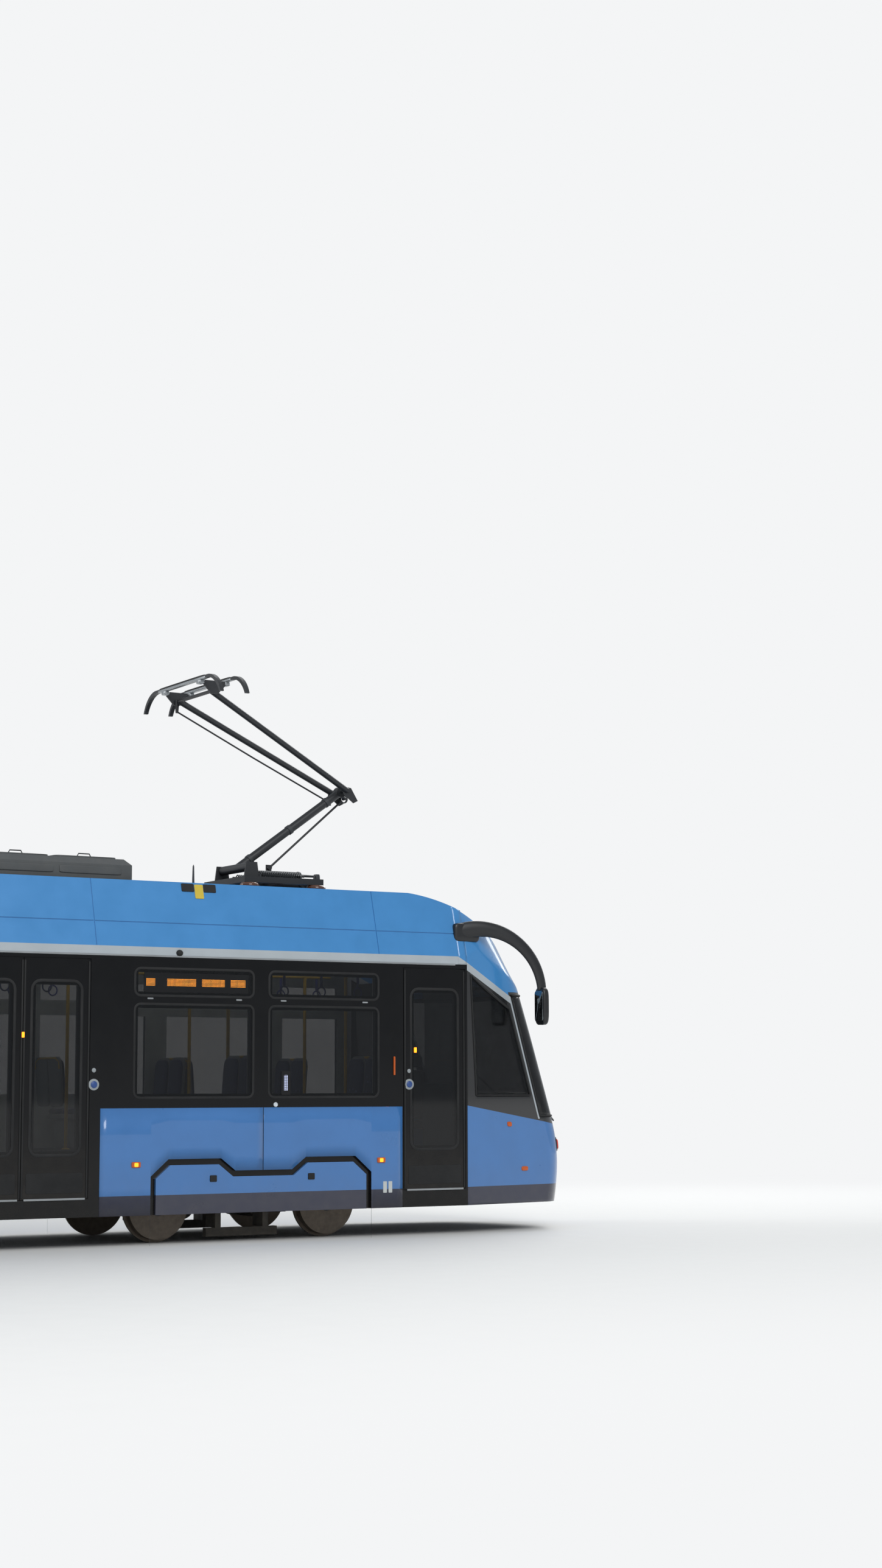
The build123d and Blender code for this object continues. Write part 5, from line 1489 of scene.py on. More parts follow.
    def end_fittings(self) -> None:
        """Fittings of an end section: door buttons, lamps, LED boards, markers, sockets and bare plates."""
        looks = {"ring": RIM_GREY, "button": BLUE_ABS, "amber": AMBER, "orange": ORANGE_DULL, "lens": WHITE_LAMP,
                 "board": BOARD, "screen": BEZEL, "spot": BOARD_WHITE, "plate": PLATE, "dark": RUBBER}
        groups = {key: Meshes() for key in looks}
        for post in self.posts:
            x = self.x(post)
            self.disc(groups["ring"], x, self.button_z, self.rim)
            self.disc(groups["button"], x, self.button_z, self.cap)
            self.disc(groups["ring"], x, self.call_z, self.call)
        for key, station, patch in self.door_lamps + self.boards:
            patch.on(groups[key], self.x(station), Side.RIGHT)
        for side in Side:
            for x in map(self.x, self.markers):
                self.marker.on(groups["orange"], x, side)
                self.marker_lamp.on(groups["amber"], x, side)
            for x in map(self.x, self.sockets):
                self.socket.on(groups["dark"], x, side)
        for shift in self.plate_shifts:
            self.plate.on(groups["plate"], self.x(self.plate_station) + shift, Side.RIGHT)
        self.disc(groups["lens"], self.x(self.lens_at[0]), self.lens_at[1], self.lens)
        station, z = self.camera_at
        groups["dark"].pillow((self.x(station), -HALF_WIDTH, z), self.camera_half, power=1.0)
        make_all(self, *((f"side_{key}", meshes, looks[key]) for key, meshes in groups.items()))

    def middle_fittings(self) -> None:
        """Fittings of the middle section: the door's button, and markers."""
        ring, button, orange = Meshes(), Meshes(), Meshes()
        self.disc(ring, self.middle_post, self.button_z, self.rim)
        self.disc(button, self.middle_post, self.button_z, self.cap)
        for side in Side:
            for x in self.middle_markers:
                self.marker.on(orange, x, side)
        make_all(self, ("side_ring", ring, RIM_GREY), ("side_button", button, BLUE_ABS),
                 ("side_orange", orange, ORANGE_DULL))


@dataclass
class NoseTrim:
    """Gaskets, wipers, lamps and the blank destination board on a nose."""

    nose: Nose
    # Pads on both sides: piece, y or stations, heights over the rail, lift, power, and whether the first are y.
    # In the lamp group these are the bezel, two round lamps in their rims, an amber and a red one.
    pads: tuple[tuple[str, Pair, Pair, float, float, bool], ...] = (
        ("lamp_bezels", (0.40, 0.86), (0.745, 0.905), 0.012, 0.45, True),
        *((name, (y - radius, y + radius), (0.825 - radius, 0.825 + radius), lift, 1.0, True)
          for y in (0.49, 0.62)
          for name, radius, lift in (("headlamp_rims", 0.060, 0.018), ("headlamp_lenses", 0.052, 0.028))),
        ("indicators", (0.71, 0.76), (0.77, 0.88), 0.024, 0.7, True),
        ("tail_lamps", (0.78, 0.83), (0.77, 0.88), 0.024, 0.7, True),
        ("indicators", (0.966, 1.026), (1.015, 1.065), 0.012, 0.6, False),
        ("indicators", (0.74, 0.83), (0.57, 0.615), 0.012, 0.5, False))
    # The destination board in the visor and its lit lines: piece, lift, stations, y.
    strips: tuple[tuple[str, float, Pair, Pair], ...] = (
        ("front_board", 0.004, (0.72, 0.93), (-0.60, 0.60)),
        ("front_board_lines", 0.007, (0.79, 0.86), (-0.53, -0.36)),
        ("front_board_lines", 0.007, (0.79, 0.86), (-0.26, 0.53)))
    # Lift and radius of the rubber round the windscreen, and the radius of that round the cab windows.
    gasket_lift: float = 0.002
    gasket_radii: Pair = (0.011, 0.010)
    # Wiper arms: y at the foot and at the tip, height of the tip; lift at the foot and what it loses at the tip.
    wiper_arms: tuple[Triple, ...] = ((0.05, 0.66, 1.62), (-0.66, -0.08, 1.58))
    wiper_foot: float = 1.06
    wiper_lift: Pair = (0.035, 0.012)
    wiper_radius: float = 0.009
    blade_z: Pair = (1.24, 2.02)
    blade_lift: float = 0.012
    blade_radius: float = 0.008
    board_rim: float = 0.02

    def build(self) -> None:
        """Make every piece."""
        nose = self.nose
        looks = {"screen_gaskets": RUBBER, "lamp_bezels": BEZEL, "headlamp_lenses": WHITE_LAMP,
                 "headlamp_rims": REFLECTOR, "indicators": ORANGE_DULL, "tail_lamps": RED_LAMP, "front_board": BEZEL,
                 "front_board_lines": BOARD_FRONT, "wipers": DARK_GREY}
        groups = {name: Meshes() for name in looks}
        self.gaskets(groups["screen_gaskets"])
        self.wipers(groups["wipers"])
        for name, ends, heights, lift, power, by_width in self.pads:
            pad = nose.form.pad(*ends, *(RAIL + z for z in heights), lift, power, by_width)
            for side in Side:
                groups[name].grid(to_end(pad, nose.end, side), wrap=True)
        for name, lift, stations, ys in self.strips:
            groups[name].grid(to_end(self.board_grid(lift, stations, ys), nose.end))
        made = make_all(nose, *((name, meshes, looks[name]) for name, meshes in groups.items()))["headlamp_lenses"]
        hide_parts(f"{nose.key}_lamps")

    def gaskets(self, rubber: Meshes) -> None:
        """Rubber beads round the windscreen and the cab windows, along the blocks' own edges.

        Args:
            rubber: takes the beads.
        """
        nose, form = self.nose, self.nose.form
        z = span(nose.screen_low, nose.screen_top, 40)
        s = nose.column_line(1, z)
        low, high = span(0, s[0], 24), span(s[-1], 0, 24)
        lift = self.gasket_lift
        half = np.concatenate((form.lifted(low, z[:1], lift), form.lifted(s, z, lift)[1:],
                               form.lifted(high, z[-1:], lift)[1:]))
        other = to_end(half[::-1], End.FRONT, Side.RIGHT)
        rubber.tube(to_end(np.concatenate((half, other[1:])), nose.end), self.gasket_radii[0], 8)
        block = nose.block(*nose.cab_block)
        loop = np.concatenate((block[0], block[1:, -1], block[-1, -2::-1], block[-2::-1, 0]))
        for side in Side:
            rubber.tube(to_end(loop, nose.end, side), self.gasket_radii[1], 8)

    def wipers(self, dark: Meshes) -> None:
        """Two wiper arms with their blades, parked low on the screen.

        Args:
            dark: takes the arms and blades.
        """
        nose, form = self.nose, self.nose.form
        share = span(0, 1, 14)
        foot, less = self.wiper_lift
        for y0, y1, top in self.wiper_arms:
            side = Side.LEFT if y0 > 0 else Side.RIGHT
            z = RAIL + self.wiper_foot + (top - self.wiper_foot) * share ** 1.3
            s = form.station_s(np.abs(span(y0, y1, 14)), z, True)
            dark.tube(to_end(form.lifted(s, z, foot - less * share), nose.end, side), self.wiper_radius, 8)
            z = RAIL + span(*self.blade_z, 14)
            y = span(y1 - 0.02, y1 - 0.09, 14) if side is Side.LEFT else span(0.10, 0.17, 14)
            blade = form.lifted(form.station_s(y, z, True), z, self.blade_lift)
            dark.tube(to_end(blade, nose.end, side), self.blade_radius, 8, flat=1.6)

    def board_grid(self, lift: float, stations: Pair, ys: Pair) -> np.ndarray:
        """Strip of the cap between two stations and two y, raised by lift, with its rims turned down.

        Args:
            lift: height over the cap.
            stations: first and last station.
            ys: first and last y.

        Returns:
            The points (rows, columns, 3).
        """
        nose = self.nose
        edge = nose.cap_edge()
        order = np.argsort(edge[:, 0])
        x = HALF_LENGTH - span(*stations, 12)[:, None]
        y = span(*ys, 40)[None, :]
        width = np.interp(x, edge[order, 0], edge[order, 1])
        z = nose.form.roof_z(x) + nose.crown(x, edge) * (1 - (y / width) ** 2) + lift
        top = np.stack((x + 0 * y, y + 0 * x, z + 0 * y), axis=-1)
        rim = top.copy()
        rim[..., 2] -= self.board_rim
        return np.concatenate((rim[:1], top, rim[-1:]))


@dataclass
class Bellows(Section):
    """Pleated gangway hood of coated cloth between two sections."""

    half_width: float = HALF_WIDTH - 0.12
    low: float = RAIL + 0.52
    high: float = RAIL + 2.69
    corner: float = 0.16
    pleats: int = 11
    fold: float = 0.045
    sharpness: float = 0.7
    cloth: float = 0.004
    pivot_z: float = 1.6
    around: int = 160

    def build(self) -> None:
        """Make the hood.

        Each ring is the hood's rounded outline drawn in by fold (1 - |cos|^sharpness) of its place in the pleat.
        """
        key, sign = self.key, self.end.value
        u = span(0, 1, self.pleats * 8 + 1)
        inset = self.fold * (1 - np.abs(np.cos(math.pi * u * self.pleats)) ** self.sharpness)
        x = MIDDLE_END + (CAR_END - MIDDLE_END) * u
        rows = []
        for place, inward in zip(x, inset):
            ring = self.fill(rounded(-self.half_width + inward, self.half_width - inward, self.low + inward,
                                     self.high - inward, self.corner, steps=9))
            rows.append(np.column_stack((np.full(len(ring), sign * place), ring)))
        hood = Meshes()
        hood.grid(np.stack(rows), wrap=True)
        middle = (sign * (MIDDLE_END + CAR_END) / 2, 0.0, self.pivot_z)
        made = hood.object(f"{key}_bellows_hood", BELLOWS_CLOTH, "", crease=50, centre=middle)
        thicken(made, self.cloth)
        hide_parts(f"{key}_bellows")
        if self.end is End.FRONT:
            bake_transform(made)
        else:
            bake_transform(made)

    def fill(self, ring: np.ndarray) -> np.ndarray:
        """Spread points evenly along a closed outline by its arc length, so that straight sides can bend.

        Args:
            ring: the outline's corners (n, 2).

        Returns:
            The even points.
        """
        closed = np.concatenate((ring, ring[:1]))
        length = np.concatenate(([0.0], np.cumsum(np.linalg.norm(np.diff(closed, axis=0), axis=1))))
        at = np.linspace(0, length[-1], self.around, endpoint=False)
        return np.column_stack([np.interp(at, length, closed[:, k]) for k in (0, 1)])


@dataclass
class Mirrors(Section):
    """Swept mirror arms of the driver's cab, with their housings and glasses."""

    root_station: float = 1.59
    root_z: float = RAIL + 2.965
    reach: float = 0.850
    drop: float = 0.575
    splay: float = math.radians(15)
    # The arc's middle point as shares of reach and drop, and the point inside the body from which an arm comes.
    bend: Pair = (0.62, 0.1)
    hidden: Pair = (-0.06, -0.02)
    # An arm's radius at its tip, and what the root adds.
    arm_taper: Pair = (0.052, 0.034)
    bracket: Triple = (0.15, 0.055, 0.095)
    housing: Triple = (0.040, 0.088, 0.19)
    # The joint between arm and housing: how deep the tip sits, and its lathed cap from below the tip.
    knuckle: float = 0.0225
    cap_low: float = 0.03
    cap: tuple[Pair, ...] = ((0, 0), (0, 0.03), (0.05, 0.028), (0.075, 0.022), (0.08, 0))
    glass: Pair = (0.070, 0.155)
    # Rows of the glass: how far each stands out from the housing's face, and its share of the outline.
    glass_rows: tuple[Pair, ...] = ((0.01, 1.0), (-0.001, 1.0), (-0.002, 0.97), (-0.0022, 0.0))

    def arc(self) -> tuple[np.ndarray, np.ndarray]:
        """Distance out and height along an arm: a circular arc through the root, a bend and the tip.

        Returns:
            The distances and the heights.
        """
        xs = self.reach * np.array((0.0, self.bend[0], 1.0))
        zs = -self.drop * np.array((0.0, self.bend[1], 1.0))
        centre = circle_centre(xs, zs)
        radius = math.hypot(*centre)
        first, last = (math.atan2(zs[i] - centre[1], xs[i] - centre[0]) for i in (0, 2))
        angle = span(first, last, 40)
        along, height = centre[0] + radius * np.cos(angle), centre[1] + radius * np.sin(angle)
        return np.insert(along, 0, self.hidden[0]), np.insert(height, 0, self.hidden[1])

    def build(self) -> None:
        """Make both arms, which taper toward the tip, with a bracket at the root and a housing at the tip."""
        arms, shells, glass = Meshes(), Meshes(), Meshes()
        along, height = self.arc()
        least, more = self.arm_taper
        taper = least + more * np.clip(1 - along / self.reach, 0, 1.05) ** 0.7
        root_y = fascia_y(self.root_z)
        for side in Side:
            path = np.column_stack((HALF_LENGTH - self.root_station + along * math.cos(self.splay),
                                    side.value * (root_y + along * math.sin(self.splay)), self.root_z + height))
            arms.tube(path, taper, 20, flat=0.5)
            root, tip = path[1], path[-1]
            arms.pillow((root[0] + 0.05, root[1] - side.value * 0.015, root[2] - 0.01), self.bracket, 0.35)
            middle = tip - np.array([0.0, 0.0, self.housing[2] - self.knuckle])
            shells.pillow(middle, self.housing, 0.45)
            shells.lathe((tip[0], tip[1], tip[2] - self.cap_low), 2, self.cap)
            half_y, half_z = self.glass
            outline = rounded(-half_y, half_y, -half_z, half_z, 0.03)
            rows = [np.column_stack((np.full(len(outline), middle[0] - self.housing[0] + out),
                                     middle[1] + outline[:, 0] * share, middle[2] + outline[:, 1] * share))
                    for out, share in self.glass_rows]
            glass.grid(np.stack(rows), wrap=True)
        made = make_all(self, ("mirror_arms", arms, MIRROR_SHELL),
                        ("mirror_housings", shells, MIRROR_SHELL), ("mirror_glasses", glass, MIRROR_GLASS))
        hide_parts("front_mirrors")


@dataclass
class Saloon(Section):
    """Passenger room of a section: upholstered seats on shells, poles, rails with straps, and ceiling lights."""

    # One place: heights of the cushion's and the back's top over its base, depth, and how the back leans.
    cushion_top: float = 0.40
    back_top: float = 0.90
    depth: float = 0.38
    back_thickness: float = 0.055
    lean: float = 0.06
    place_width: float = 0.31
    place_gap: float = 0.02
    piping: float = 0.006
    cushion_look: dict[str, float] = field(default_factory=lambda: {"pull": 0.035, "crown": 0.12, "welt": 0.012})
    back_look: dict[str, float] = field(default_factory=lambda: {"pull": 0.03, "crown": 0.5, "welt": 0.012})
    # The box under two places: how far before the backs' foot and over the base its middle is, and half sizes.
    plinth_at: Pair = (0.23, 0.14)
    plinth: Triple = (0.13, 0.24, 0.15)
    # The grab handle over a back: its half width, and its points as shares of that with their heights.
    handle_at: Pair = (0.05, 0.78)
    handle_half: float = 0.30
    handle_radius: float = 0.012
    handle: tuple[Pair, ...] = ((-1, 0), (-0.96, 0.07), (-0.7, 0.105), (0.7, 0.105), (0.96, 0.07), (1, 0))
    podium: float = RAIL + 0.82
    floor: float = RAIL + 0.40
    ceiling: float = RAIL + 2.72
    # Seats as (distance from the bogie's middle, station, or X in the middle section; facing), and how far their
    # middle is from the side.
    podium_seats: tuple[tuple[float, int], ...] = ((-1.325, 1), (-0.07, -1), (0.07, 1), (1.325, -1))
    floor_seats: tuple[tuple[float, int], ...] = ((7.60, 1), (8.35, 1), (9.10, 1))
    middle_seats: tuple[tuple[float, int], ...] = ((-2.20, 1), (2.20, -1))
    podium_wall: float = 0.42
    floor_wall: float = 0.40
    poles: tuple[float, ...] = (2.53, 3.85, 5.17, 7.20, 8.70, 9.53, 10.85, 12.00)
    middle_poles: tuple[float, ...] = (-1.9, -0.8, 0.8, 1.9)
    low_floor: Pair = (6.0, 9.1)
    pole_y: float = HALF_WIDTH - 0.77
    pole_radius: float = 0.017
    pole_foot: tuple[Pair, ...] = ((0, 0), (0, 0.04), (0.012, 0.036), (0.02, 0.0))
    rail_z: float = RAIL + 2.55
    rail_radius: float = 0.016
    # How far the rail reaches past the poles, and where its straps begin and end from its ends.
    rail_reach: float = 0.3
    strap_ends: Pair = (0.25, 0.1)
    strap_step: float = 0.42
    strap_drop: float = 0.19
    strap_loop: Pair = (0.045, 0.05)
    # A ceiling light's gap to the next, half width and half height.
    light: Triple = (0.02, 0.07, 0.010)
    light_y: float = 0.25
    light_inset: float = 0.2

    def seats(self) -> list[Quad]:
        """Places as (x of the back's foot, facing, y of the seat's middle, base height).

        Returns:
            The places.
        """
        sign = self.end.value if self.end else 1
        low = [(self.x(at), f) for at, f in (self.floor_seats if self.end else self.middle_seats)]
        high = [(self.x(bogie) + sign * off, f) for bogie in (BOGIES if self.end else ())
                for off, f in self.podium_seats]
        return [(x, sign * f, side.value * (HALF_WIDTH - wall), base)
                for places, wall, base in ((high, self.podium_wall, self.podium), (low, self.floor_wall, self.floor))
                for x, f in places for side in Side]

    def build(self) -> None:
        """Make seats, rails, straps and lights."""
        cloth, shell, yellow, strap, light = (Meshes() for _ in range(5))
        for x, facing, y, base in self.seats():
            for half in (-0.5, 0.5):
                self.seat(cloth, shell, x, facing, y + half * (self.place_width + self.place_gap), base)
            forward, rise = self.plinth_at
            shell.pillow((x + facing * forward, y, base + rise), self.plinth, 0.3, around=24)
            back, rise = self.handle_at
            yellow.tube([(x - facing * back, y + k * self.handle_half, base + rise + h) for k, h in self.handle],
                        self.handle_radius, 10)
        for side in Side:
            self.rails(yellow, strap, light, side)
        key = self.key
        made = cloth.object(f"{key}_seat_cushions", CLOTH, self.body, crease=60)
        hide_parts(f"{key}_seats")
        made = make_all(self, ("seat_shells", shell, SEAT_SHELL), ("poles_and_rails", yellow, YELLOW),
                        ("hand_straps", strap, STRAP), ("ceiling_lights", light, LIGHT_STRIP))["poles_and_rails"]
        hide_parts(f"{key}_handrails")

    def seat(self, cloth: Meshes, shell: Meshes, x: float, facing: float, y: float, base: float) -> None:
        """One place: a crowned cushion, a leaning crowned back, and the moulded shell round both.

        Args:
            cloth: takes the cushions.
            shell: takes the moulded parts.
            x: X of the back's foot.
            facing: 1 or -1, the way it faces along X.
            y: y of the place's middle.
            base: height of the floor under it.
        """
        half_x, half_y = self.depth / 2, self.place_width / 2
        seat_x = x + facing * (self.back_thickness + 0.01 + half_x)
        cushion = (half_x - 0.008, half_y - self.piping, 0.034)
        cloth.pillow((seat_x, y, base + self.cushion_top - 0.038), cushion, 0.42, np.diag([facing, 1.0, 1.0]),
                     **self.cushion_look)
        shell.pillow((seat_x, y, base + self.cushion_top - 0.085), (half_x, half_y, 0.028), 0.35, around=24)
        tall = (self.back_top - self.cushion_top - 0.03) / 2
        angle = math.atan2(self.lean, self.back_top)
        back = np.array([[-facing * math.sin(angle), 0, facing * math.cos(angle)], [0, 1, 0],
                         [math.cos(angle), 0, math.sin(angle)]])
        height = base + self.cushion_top + 0.02 + tall
        middle = x - facing * self.lean * (height - base) / self.back_top
        cloth.pillow((middle + facing * 0.040, y, height), (tall - 0.01, half_y - self.piping, 0.018), 0.45, back,
                     **self.back_look)
        shell.pillow((middle + facing * 0.014, y, height), (tall + 0.01, half_y, 0.016), 0.35, back, around=24)

    def rails(self, yellow: Meshes, strap: Meshes, light: Meshes, side: Side) -> None:
        """One side's poles, the rail through them under the ceiling, straps on it, and the light strip.

        Args:
            yellow: takes the poles and the rail.
            strap: takes the straps.
            light: takes the light strip.
            side: the side of the vehicle.
        """
        end, y, z = self.end, side.value * self.pole_y, self.rail_z
        stations = self.poles if end else self.middle_poles
        for station in stations:
            x = self.x(station)
            low = not end or self.low_floor[0] < station < self.low_floor[1]
            foot = self.floor if low else self.podium
            yellow.tube([(x, y, foot), (x, y, (foot + self.ceiling) / 2), (x, y, self.ceiling)], self.pole_radius, 12)
            yellow.lathe((x, y, foot), 2, self.pole_foot, 16)
        first, last = self.xs(stations[0], stations[-1])
        first, last = first - self.rail_reach, last + self.rail_reach
        yellow.tube([(x, y, z) for x in span(first, last, 12)], self.rail_radius, 12)
        t = span(0, 2 * math.pi, 13)
        wide, tall = self.strap_loop
        for x in np.arange(first + self.strap_ends[0], last - self.strap_ends[1], self.strap_step):
            strap.tube([(x, y, z + 0.014), (x, y, z - 0.08), (x, y, z - 0.15)], 0.015, 8, flat=0.25)
            loop = np.column_stack((x + wide * np.sin(t), y + 0 * t, z - self.strap_drop + tall * np.cos(t)))
            strap.tube(loop, 0.008, 8)
        gap, half_y, half_z = self.light
        inset = self.light_inset
        edges = span(first, last, 6) if end else span(-MIDDLE_END + inset, MIDDLE_END - inset, 6)
        for a, b in zip(edges, edges[1:]):
            light.pillow(((a + b) / 2, side.value * self.light_y, self.ceiling - 0.012),
                         ((b - a) / 2 - gap, half_y, half_z), 0.2, around=24)


@dataclass
class Cab(Section):
    """Driver's cab of one end: glazed bulkhead, desk with displays and levers, and the seat."""

    floor: float = RAIL + 0.60
    wall_station: float = 1.56
    wall_thickness: float = 0.04
    wall_y: Pair = (0.32, 1.10)
    pane_inset: Pair = (0.014, 0.02)
    pane_z: Pair = (RAIL + 1.45, RAIL + 2.30)
    wall_top: float = RAIL + 2.52
    desk: Pair = (0.50, 0.81)
    desk_top: float = RAIL + 1.15
    desk_tilt: float = 0.22
    displays: Triple = (-0.30, 0.0, 0.30)
    display_half: Triple = (0.045, 0.10, 0.006)
    display_tilt: float = 0.9
    levers: Pair = (-0.42, 0.42)
    buttons: int = 12
    seat_station: float = 1.20
    column: tuple[Pair, ...] = ((0, 0), (0, 0.16), (0.02, 0.15), (0.03, 0.07), (0.33, 0.06), (0.36, 0.10), (0.37, 0))

    def build(self) -> None:
        """Make the cab's pieces."""
        plastic, display, cloth, metal, pane = (Meshes() for _ in range(5))
        self.bulkhead(plastic, pane)
        self.console(plastic, display, metal)
        self.seat(cloth, metal)
        key, body = self.key, self.body
        made = plastic.object(f"{key}_cab_furniture", CAB_PLASTIC, body, bevel=0.004)
        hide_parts(f"{key}_cab_interior")
        cloth.object(f"{key}_driver_seat", CAB_CLOTH, body, crease=60)
        make_all(self, ("desk_displays", display, SCREEN), ("cab_metalwork", metal, DARK_GREY),
                 ("cab_panes", pane, SIDE_GLASS))

    def bulkhead(self, plastic: Meshes, pane: Meshes) -> None:
        """Wall behind the driver, in two halves with a pane in each.

        Args:
            plastic: takes the wall.
            pane: takes the panes.
        """
        x0, x1 = self.xs(self.wall_station, self.wall_station - self.wall_thickness)
        low, high = self.pane_z
        dx, dy = self.pane_inset
        for side in Side:
            y0, y1 = sorted(side.value * y for y in self.wall_y)
            plastic.box((x0, y0, self.floor), (x1, y1, low))
            plastic.box((x0, y0, high), (x1, y1, self.wall_top))
            pane.box((x0 + dx, y0 + dy, low), (x1 - dx, y1 - dy, high))

    def console(self, plastic: Meshes, display: Meshes, metal: Meshes) -> None:
        """Desk with a tilted top, a raised binnacle, three displays, two levers and two rows of buttons.

        Args:
            plastic: takes the moulded parts.
            display: takes the displays.
            metal: takes the metal parts.
        """
        sign, top = self.end.value, self.desk_top
        middle = (self.x(self.desk[0]) + self.x(self.desk[1])) / 2
        plastic.pillow((middle + sign * 0.02, 0, (self.floor + top) / 2 - 0.04),
                       (0.10, 0.56, (top - self.floor) / 2 - 0.03), 0.22)
        plastic.pillow((middle, 0, top - 0.05), (0.155, 0.59, 0.03), 0.2, pitched(self.desk_tilt * sign))
        plastic.pillow((middle + sign * 0.09, 0, top - 0.015), (0.05, 0.42, 0.035), 0.5)
        for y in self.displays:
            display.pillow((middle + sign * 0.045, y, top), self.display_half, 0.15, pitched(self.display_tilt * sign))
        for y in self.levers:
            metal.tube([(middle - sign * 0.05, y, top - 0.04), (middle - sign * 0.06, y, top + 0.05)], 0.009, 10)
            plastic.pillow((middle - sign * 0.062, y, top + 0.07), (0.022, 0.03, 0.025), 0.7)
        for index in range(self.buttons):
            place = (middle - sign * (0.03 + 0.035 * (index % 2)), -0.22 + 0.04 * index, top - 0.028)
            metal.pillow(place, (0.009, 0.009, 0.008), 0.4, around=12)

    def seat(self, cloth: Meshes, metal: Meshes) -> None:
        """Driver's seat on a column: cushion, upright back and head rest, with two arm rests.

        Args:
            cloth: takes the cushions.
            metal: takes the metal parts.
        """
        sign, x, z = self.end.value, self.x(self.seat_station), self.floor
        metal.lathe((x, 0, z), 2, self.column, 24)
        cloth.pillow((x + sign * 0.01, 0, z + 0.43), (0.215, 0.23, 0.05), 0.5, pull=0.04, crown=0.25, welt=0.012)
        upright = np.array([[0.0, 0, sign], [0, 1, 0], [1.0, 0, 0.0]])
        cloth.pillow((x - sign * 0.255, 0, z + 0.74), (0.26, 0.22, 0.038), 0.5, upright, pull=0.04, crown=0.35,
                     welt=0.012)
        cloth.pillow((x - sign * 0.26, 0, z + 1.08), (0.065, 0.13, 0.034), 0.55, upright, pull=0.03, crown=0.3)
        for side in Side:
            y = side.value * 0.25
            metal.tube([(x - sign * 0.24, y, z + 0.62), (x + sign * 0.02, y, z + 0.64)], 0.02, 10, flat=0.7)


